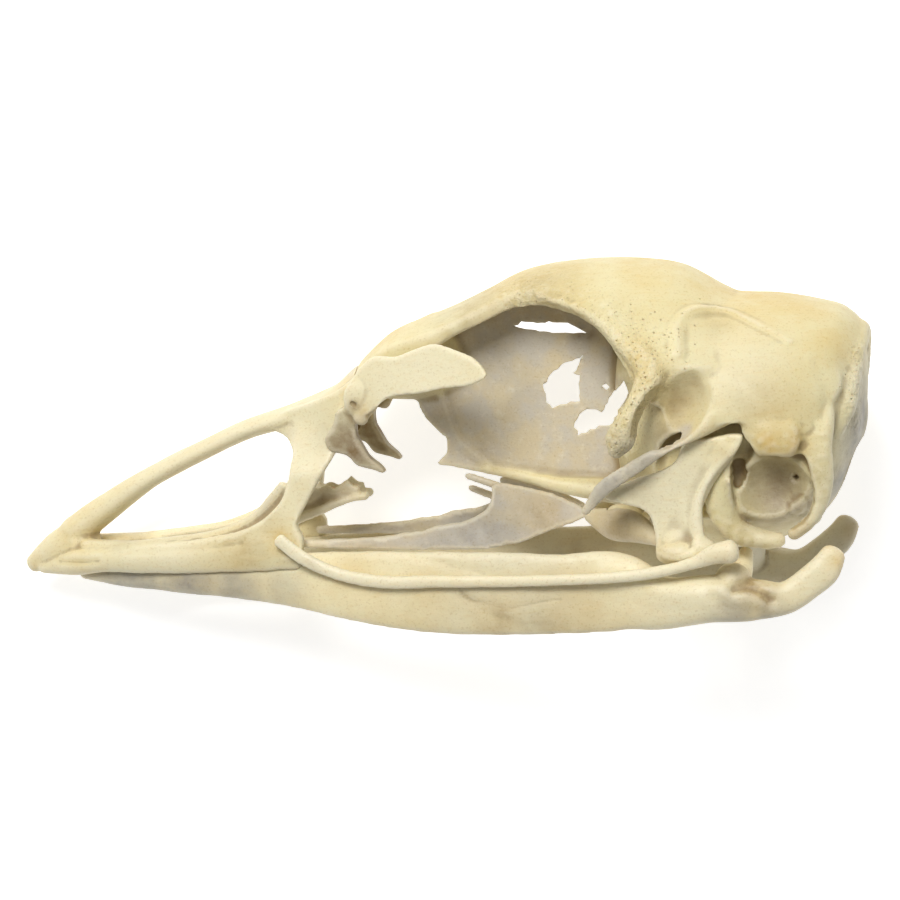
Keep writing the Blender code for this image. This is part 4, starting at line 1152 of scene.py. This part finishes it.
# %% Stains and painted shade of the smaller bones
STAINS_AND_SHADE.update({
    "lacrimal": {
        "pale": [(-2, 12, 10, 14, 1.0)],
        # The brown in the lacrimal's hole and on its thorn, and the thorn's grey, are painted shade under the
        # blade.
        "brown_stain_and_shade": [(-10.2, 9, 6.2, 0.8, 0.9), (-10.6, 7.2, 1.2, 4.2, 1.0), (-8.6, 7, -1, 3, 0.9)],
        "grey": [(-10.4, 7.2, 0.6, 4.2, 0.8)],
        "yellow": [(-8.8, 9.4, 4.8, 1.6, 0.7), (6, 12, 10.6, 1.6, 0.2)],
    },
    "quadrate": {
        "pale": [(29, 14, -4, 12, 1.0)],
        "brown_stain_and_shade": [(28, 12, -1, 2.6, 0.2), (31, 13, -10, 1.6, 0.5), (24, 13, -2.6, 2.6, 0.3)],
        "grey": [(25, 12, -3.4, 2.4, 0.3)],
        "yellow": [(34.6, 15, 2.2, 2, 0.3), (28, 15, -10, 2.0, 0.5)],
    },
    "jugal_bar": {
        "pale": [(0, None, -14, 60, 0.9)],
        "brown_stain_and_shade": [(-15, 10, -12.6, 1.0, 0.4), (34.6, 17, -10.4, 1.0, 0.5)],
        "yellow": [(4, 13, -14, 8, 0.25), (35, 17, -9.6, 1.6, 0.5)],
    },
    "palatine": {
        "brown_stain_and_shade": [(-10, 6, -10.6, 6, 0.4), (12, 4, -7, 3, 0.4)],
        "grey": [(4, 6, -9, 7, 0.8)],
        "yellow": [(14, 3, -6, 2.4, 0.5)],
    },
    "pterygoid": {
        "brown_stain_and_shade": [(22, 7, -8, 3, 0.6)],
        "yellow": [(20, 5, -8, 2, 0.5)],
    },
    "vomer": {
        "brown_stain_and_shade": [(5, 1, -4, 3, 0.6)],
        "grey": [(3, 1, -4, 2, 0.5)],
    },
})
print("stained places:", sum(len(places) for stains_and_shade in STAINS_AND_SHADE.values() for places in stains_and_shade.values()))

# %% The numbers of every point
# How far each thin bone lets its greyness show, and how much painted shade greys the far side of the jaw at
# least.
PAPERY = {"cranium": 1, "palatine": 1, "vomer": 0.6, "pterygoid": 0.4, "upper_beak": 0.5}
FAR_JAW_SHADE = 0.3

# A ridge this high and a hollow this deep, in mm, are the strongest that the material knows.
FULL_RIDGE = 0.06
FULL_SHADED_HOLLOW = 0.5


def measure_surface(piece, kind):
    """Gives a bone's points the numbers that its material reads."""
    points = points_of(piece)
    set_share(piece, "ridge", np.clip(bulge_of(piece, 6) / FULL_RIDGE, -1, 1))
    # The hollow number lets the material paint large hollows brown, partly as dirt and partly as painted
    # shade.
    set_share(piece, "hollow", np.clip(-bulge_of(piece, 60) / FULL_SHADED_HOLLOW, -1, 1))
    set_share(piece, "thin", PAPERY.get(kind, 0) * thinness_of(piece))
    for stain_and_shade, places in STAINS_AND_SHADE[kind].items():
        set_share(piece, stain_and_shade, near(points, places))
    # The far side of the jaw gets painted shade, grey at least this much.
    if kind == "mandible":
        far_side_shade = FAR_JAW_SHADE * (points[:, 1] > 4)
        set_share(piece, "grey", np.maximum(near(points, STAINS_AND_SHADE[kind]["grey"]), far_side_shade))
    if kind == "cranium":
        set_share(piece, "granular", granular_zone(points))


print("thin bones:", ", ".join(PAPERY))

# %% [markdown]
# ## Laying the skull down
# All bones are turned by the same angles, set so that the box around them stands on the frame's origin, and
# scaled to metres. Each then has its place in its mesh, with its object at the origin.

# %% Lay the bones down
MM = 0.001
SLOTS = {
    cranium: "skull_bone", upper_beak: "beak_bone", jaw: "jaw_bone",
    lacrimal_left: "skull_bone", lacrimal_right: "skull_bone",
    quadrate_left: "skull_bone", quadrate_right: "skull_bone",
    jugal_left: "jaw_bone", jugal_right: "jaw_bone",
    palatine_left: "thin_bone", palatine_right: "thin_bone",
    pterygoid_left: "thin_bone", pterygoid_right: "thin_bone", nose_divider: "thin_bone",
}
BONES = {bone: (bone.name.removesuffix("_bone"), slot) for bone, slot in SLOTS.items()}

for bone, (node, slot) in BONES.items():
    measure_surface(bone, node.removesuffix("_left").removesuffix("_right"))
turn = np.array(resting)
corners = np.concatenate([points_of(bone) @ turn.T for bone in BONES])
low, high = corners.min(axis=0), corners.max(axis=0)
rest_point = np.array([-(low[0] + high[0]) / 2, -(low[1] + high[1]) / 2, -low[2]])
seat = Matrix.Translation(Vector(rest_point * MM)) @ resting.to_4x4()
print("the skull's own origin is at", rest_point.round(2), "mm")

# %% [markdown]
# ## Bone as a material
# The colour is laid on as a painter would: a cloudy cream, drawn out into fibres along the skull, speckled
# with fine pores, and then the stains over it, each broken up by noise of its own so that none has a hard
# edge. Part of the brown and grey, and the darkening of the hollows, is painted shade. Bump gives the grain
# that is too fine for the mesh. All noise stands on Object coordinates, in metres, so it stays fixed to the
# bone.

# %% Node helpers
class Paint:
    """Short names for the nodes of one material."""

    def __init__(self, name):
        self.material = bpy.data.materials.new(name)
        self.material.use_nodes = True
        self.tree = self.material.node_tree
        self.shader = self.tree.nodes["Principled BSDF"]
        self.place = self.node("TexCoord").outputs["Object"]

    def node(self, kind, **values):
        """A new node, with the given values on the sockets of those names."""
        made = self.tree.nodes.new("ShaderNode" + kind)
        for name, value in values.items():
            self.link(value, made.inputs[name.replace("_", " ")])
        return made

    def link(self, value, socket):
        if isinstance(value, (int, float, tuple)):
            socket.default_value = (*value, 1) if isinstance(value, tuple) and len(value) == 3 else value
        else:
            self.tree.links.new(value, socket)

    def number(self, name):
        """A number of each point, by its name."""
        node = self.node("Attribute")
        node.attribute_name = name
        return node.outputs["Fac"]

    def stretched(self, turn, scale):
        """Object coordinates turned about z and then stretched, for fibres that run one way."""
        node = self.node("Mapping")
        node.vector_type = "TEXTURE"
        node.inputs["Rotation"].default_value = (0, 0, turn)
        node.inputs["Scale"].default_value = scale
        self.link(self.place, node.inputs["Vector"])
        return node.outputs["Vector"]

    def noise(self, size, detail=3.0, rough=0.55, place=None, warp=0.0):
        """Noise whose features are about size mm."""
        sizes = {"Scale": 1 / (size * MM), "Detail": detail, "Roughness": rough, "Distortion": warp}
        return self.node("TexNoise", Vector=place or self.place, **sizes).outputs["Fac"]

    def pits(self, size):
        """0 in the middle of scattered cells of size mm, 1 further out."""
        cells = self.node("TexVoronoi", Scale=1 / (size * MM), Randomness=1, Vector=self.place)
        return self.remap(cells.outputs["Distance"], 0.08, 0.34)

    def remap(self, value, low, high, first=0.0, last=1.0):
        ends = {"From_Min": low, "From_Max": high, "To_Min": first, "To_Max": last}
        return self.node("MapRange", Value=value, **ends).outputs["Result"]

    def math(self, how, first, second):
        node = self.node("Math")
        node.operation = how
        node.use_clamp = how in ("MULTIPLY", "MAXIMUM")
        self.link(first, node.inputs[0])
        self.link(second, node.inputs[1])
        return node.outputs["Value"]

    def times(self, first, second):
        return self.math("MULTIPLY", first, second)

    def over(self, under, colour, share, blend="MIX"):
        """A colour laid over another, by a share from 0 to 1."""
        node = self.node("Mix")
        node.data_type = "RGBA"
        node.blend_type = blend
        self.link(share, node.inputs[0])
        self.link(under, node.inputs[6])
        self.link(colour, node.inputs[7])
        return node.outputs[2]

    def relief(self, height, depth, strength, under=None):
        """Bump of depth mm, on top of the bump under it."""
        node = self.node("Bump", Distance=depth * MM, Strength=strength, Height=height)
        if under is not None:
            self.link(under, node.inputs["Normal"])
        return node.outputs["Normal"]


print("paint is ready")

# %% Dry bone
YELLOW, BROWN_STAIN_AND_SHADE, GREY_STAIN_AND_SHADE = (0.66, 0.46, 0.15), (0.22, 0.14, 0.055), (0.27, 0.25, 0.22)
PALE, RUBBED, SPECKLED = (0.77, 0.71, 0.50), (0.86, 0.80, 0.62), (0.62, 0.50, 0.30)
THIN_TAN, THIN_GREY, THIN_PALE = (0.62, 0.53, 0.36), (0.56, 0.52, 0.45), (0.72, 0.67, 0.55)


def dry_bone(name, pale, cream, roughness, grain):
    """A dry bone between two creams. Grain says how strong its pores and fibres are."""
    paint = Paint(name)
    along = paint.stretched(LEAN_BACK, (9, 1, 1))
    cloud = paint.noise(7, 3)
    fibre = paint.noise(0.45, 3, 0.6, along, 0.3)
    speck = paint.noise(0.28, 2)
    patch = paint.remap(paint.noise(1.8, 4, 0.65), 0.35, 0.65)
    colour = paint.over(pale, cream, paint.remap(cloud, 0.36, 0.64))
    colour = paint.over(colour, PALE, paint.times(paint.number("pale"), 0.9))
    colour = paint.over(colour, YELLOW, paint.remap(fibre, 0.52, 0.75, 0, 0.22))
    yellow = paint.times(paint.number("yellow"), paint.remap(patch, 0, 1, 0.55, 0.95))
    colour = paint.over(colour, YELLOW, yellow)
    thin = paint.over(THIN_TAN, THIN_GREY, paint.remap(paint.noise(5, 4, 0.6), 0.42, 0.6))
    thin = paint.over(thin, THIN_PALE, paint.remap(paint.noise(1.2, 4, 0.7), 0.54, 0.72, 0, 0.7))
    colour = paint.over(colour, thin, paint.times(paint.number("thin"), 0.9))
    # Grey is partly the bone's own grey and partly painted shade: at the back of the head, in the ear, on the
    # wall between the eyes and under the beak.
    grey = paint.times(paint.number("grey"), paint.remap(patch, 0, 1, 0.75, 1.0))
    colour = paint.over(colour, GREY_STAIN_AND_SHADE, grey)
    # Brown is partly stain and partly painted shade in recesses.
    brown_stain_and_shade = paint.times(paint.number("brown_stain_and_shade"), paint.remap(patch, 0, 1, 0.5, 1.0))
    # Deep paints the large hollows darker, partly as dirt and partly as painted shade.
    deep = paint.times(paint.remap(paint.number("hollow"), 0.1, 1.0), 0.55)
    colour = paint.over(colour, BROWN_STAIN_AND_SHADE, paint.math("MAXIMUM", brown_stain_and_shade, deep))
    # The fine creases are painted darker brown.
    crease = paint.remap(paint.number("ridge"), -0.2, -1.0, 0, 0.55)
    colour = paint.over(colour, BROWN_STAIN_AND_SHADE, crease)
    colour = paint.over(colour, RUBBED, paint.remap(paint.number("ridge"), 0.3, 1.0, 0, 0.3))
    colour = paint.over(colour, SPECKLED, paint.remap(speck, 0.56, 0.74, 0, 0.35), "MULTIPLY")
    granular = paint.number("granular")
    pits = paint.times(paint.remap(paint.pits(0.62), 0.4, 0.0), paint.remap(granular, 0, 0.6, 0.06, 0.8))
    colour = paint.over(colour, BROWN_STAIN_AND_SHADE, paint.times(pits, 0.5))
    paint.link(colour, paint.shader.inputs["Base Color"])
    bump = paint.relief(paint.noise(0.22, 3, 0.7), 0.05, 0.35 * grain)
    bump = paint.relief(fibre, 0.09, 0.35 * grain, bump)
    bump = paint.relief(paint.noise(0.9, 3, 0.6), 0.16, 0.3 * grain, bump)
    bump = paint.relief(paint.remap(pits, 0, 1, 1, 0), 0.12, 0.7, bump)
    bump = paint.relief(paint.times(paint.noise(0.5, 2, 0.6), granular), 0.35, 0.8, bump)
    paint.link(bump, paint.shader.inputs["Normal"])
    paint.link(paint.remap(patch, 0, 1, roughness - 0.06, roughness + 0.08), paint.shader.inputs["Roughness"])
    paint.shader.inputs["Subsurface Weight"].default_value = 0.10
    paint.shader.inputs["Subsurface Radius"].default_value = (1.0, 0.6, 0.3)
    paint.shader.inputs["Subsurface Scale"].default_value = 0.8 * MM
    paint.shader.inputs["Specular IOR Level"].default_value = 0.45
    return paint.material


FINISHES = {
    "skull_bone": dry_bone("dry_skull_bone", (0.74, 0.67, 0.40), (0.70, 0.59, 0.30), 0.52, 1.0),
    "beak_bone": dry_bone("dry_beak_bone", (0.75, 0.68, 0.43), (0.72, 0.61, 0.34), 0.46, 0.7),
    "jaw_bone": dry_bone("dry_jaw_bone", (0.82, 0.74, 0.48), (0.76, 0.64, 0.37), 0.46, 0.8),
    "thin_bone": dry_bone("dry_thin_bone", (0.62, 0.54, 0.35), (0.52, 0.43, 0.25), 0.55, 0.9),
}
print("finishes:", ", ".join(sorted(FINISHES)))

# %% [markdown]
# ## Handing over
# In the imported model each bone is one plain node. The bone made here takes that node's place, rides on the
# part's only body, and gets the finish of its slot. Its name is the node's with the word bone after it.

# %% Hand the bones to the frame
for bone, (node, slot) in BONES.items():
    bone.data.transform(seat @ Matrix.Scale(MM, 4))
    bone.data.shade_smooth()
    bone.data.materials.clear()
    bone.data.materials.append(FINISHES[slot])
    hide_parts(node)
    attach(bone, "root")
for mesh in rooms.values():
    bpy.data.meshes.remove(mesh)
print("bones handed over:", len(BONES))

# %% [markdown]
# ## Floor, camera and light
# The photograph shows the skull on plain white, with soft light from above and hardly a shadow. A real
# studio gets that with paper that is lit from behind, so the floor here glows a little. The camera looks at
# the left side through a long lens from far off, which draws near and far bones at almost the same size. One
# large soft light stands over the skull, and a weaker one opens the shadows.

# %% Floor
def white_paper():
    """Paper that is lit from behind as well, so that it stays white in the picture."""
    paint = Paint("white_paper")
    fibre = paint.noise(1.5, 4)
    paint.link(paint.over((0.70, 0.71, 0.73), (0.74, 0.74, 0.75), fibre), paint.shader.inputs["Base Color"])
    paint.link(paint.relief(fibre, 0.05, 0.2), paint.shader.inputs["Normal"])
    paint.shader.inputs["Roughness"].default_value = 0.9
    paint.shader.inputs["Specular IOR Level"].default_value = 0.1
    paint.shader.inputs["Emission Color"].default_value = (1, 1, 1, 1)
    paint.shader.inputs["Emission Strength"].default_value = 0.66
    return paint.material


bpy.ops.mesh.primitive_plane_add(size=3, location=(0, 0, -0.0001))
floor = bpy.context.object
floor.name = "floor"
floor.data.materials.append(white_paper())
print("floor:", floor.name)

# %% Camera
CAMERA_BACK, CAMERA_CROWN = math.radians(8), math.radians(7)
CAMERA_DISTANCE = 0.6

view = side_view(CAMERA_BACK, CAMERA_CROWN)
stand = view.transposed().to_4x4()
stand.translation = view.row[2] * CAMERA_DISTANCE
camera = in_scene("camera", bpy.data.cameras.new("camera"))
camera.data.sensor_width = 36
camera.data.lens = 200
camera.data.clip_end = 10
camera.matrix_world = seat @ stand
bpy.context.scene.camera = camera
print("camera at", [round(v, 3) for v in camera.location])

# %% Light
def softbox(name, azimuth, elevation, distance, size, watts, colour=(1, 1, 1)):
    """A square light that faces the skull. Azimuth 0 is to the right of the picture, 90 above it."""
    light = bpy.data.lights.new(name, "AREA")
    light.size = size
    light.energy = watts
    light.color = colour
    holder = in_scene(name, light)
    a, e = math.radians(azimuth), math.radians(elevation)
    way = Vector((math.cos(a) * math.cos(e), math.sin(a) * math.cos(e), math.sin(e)))
    holder.location = way * distance
    holder.rotation_euler = way.to_track_quat("Z", "Y").to_euler()
    return holder


softbox("key", azimuth=116, elevation=61, distance=0.8, size=0.3, watts=5.6, colour=(1.0, 0.99, 0.97))
softbox("fill", azimuth=-30, elevation=65, distance=1.2, size=0.9, watts=0.8)
world = bpy.data.worlds.new("studio")
bpy.context.scene.world = world
world.use_nodes = True
world.node_tree.nodes["Background"].inputs["Color"].default_value = (1, 1, 1, 1)
world.node_tree.nodes["Background"].inputs["Strength"].default_value = 0.28
bpy.context.scene.view_settings.view_transform = "Standard"
print("lights:", [item.name for item in bpy.data.lights])
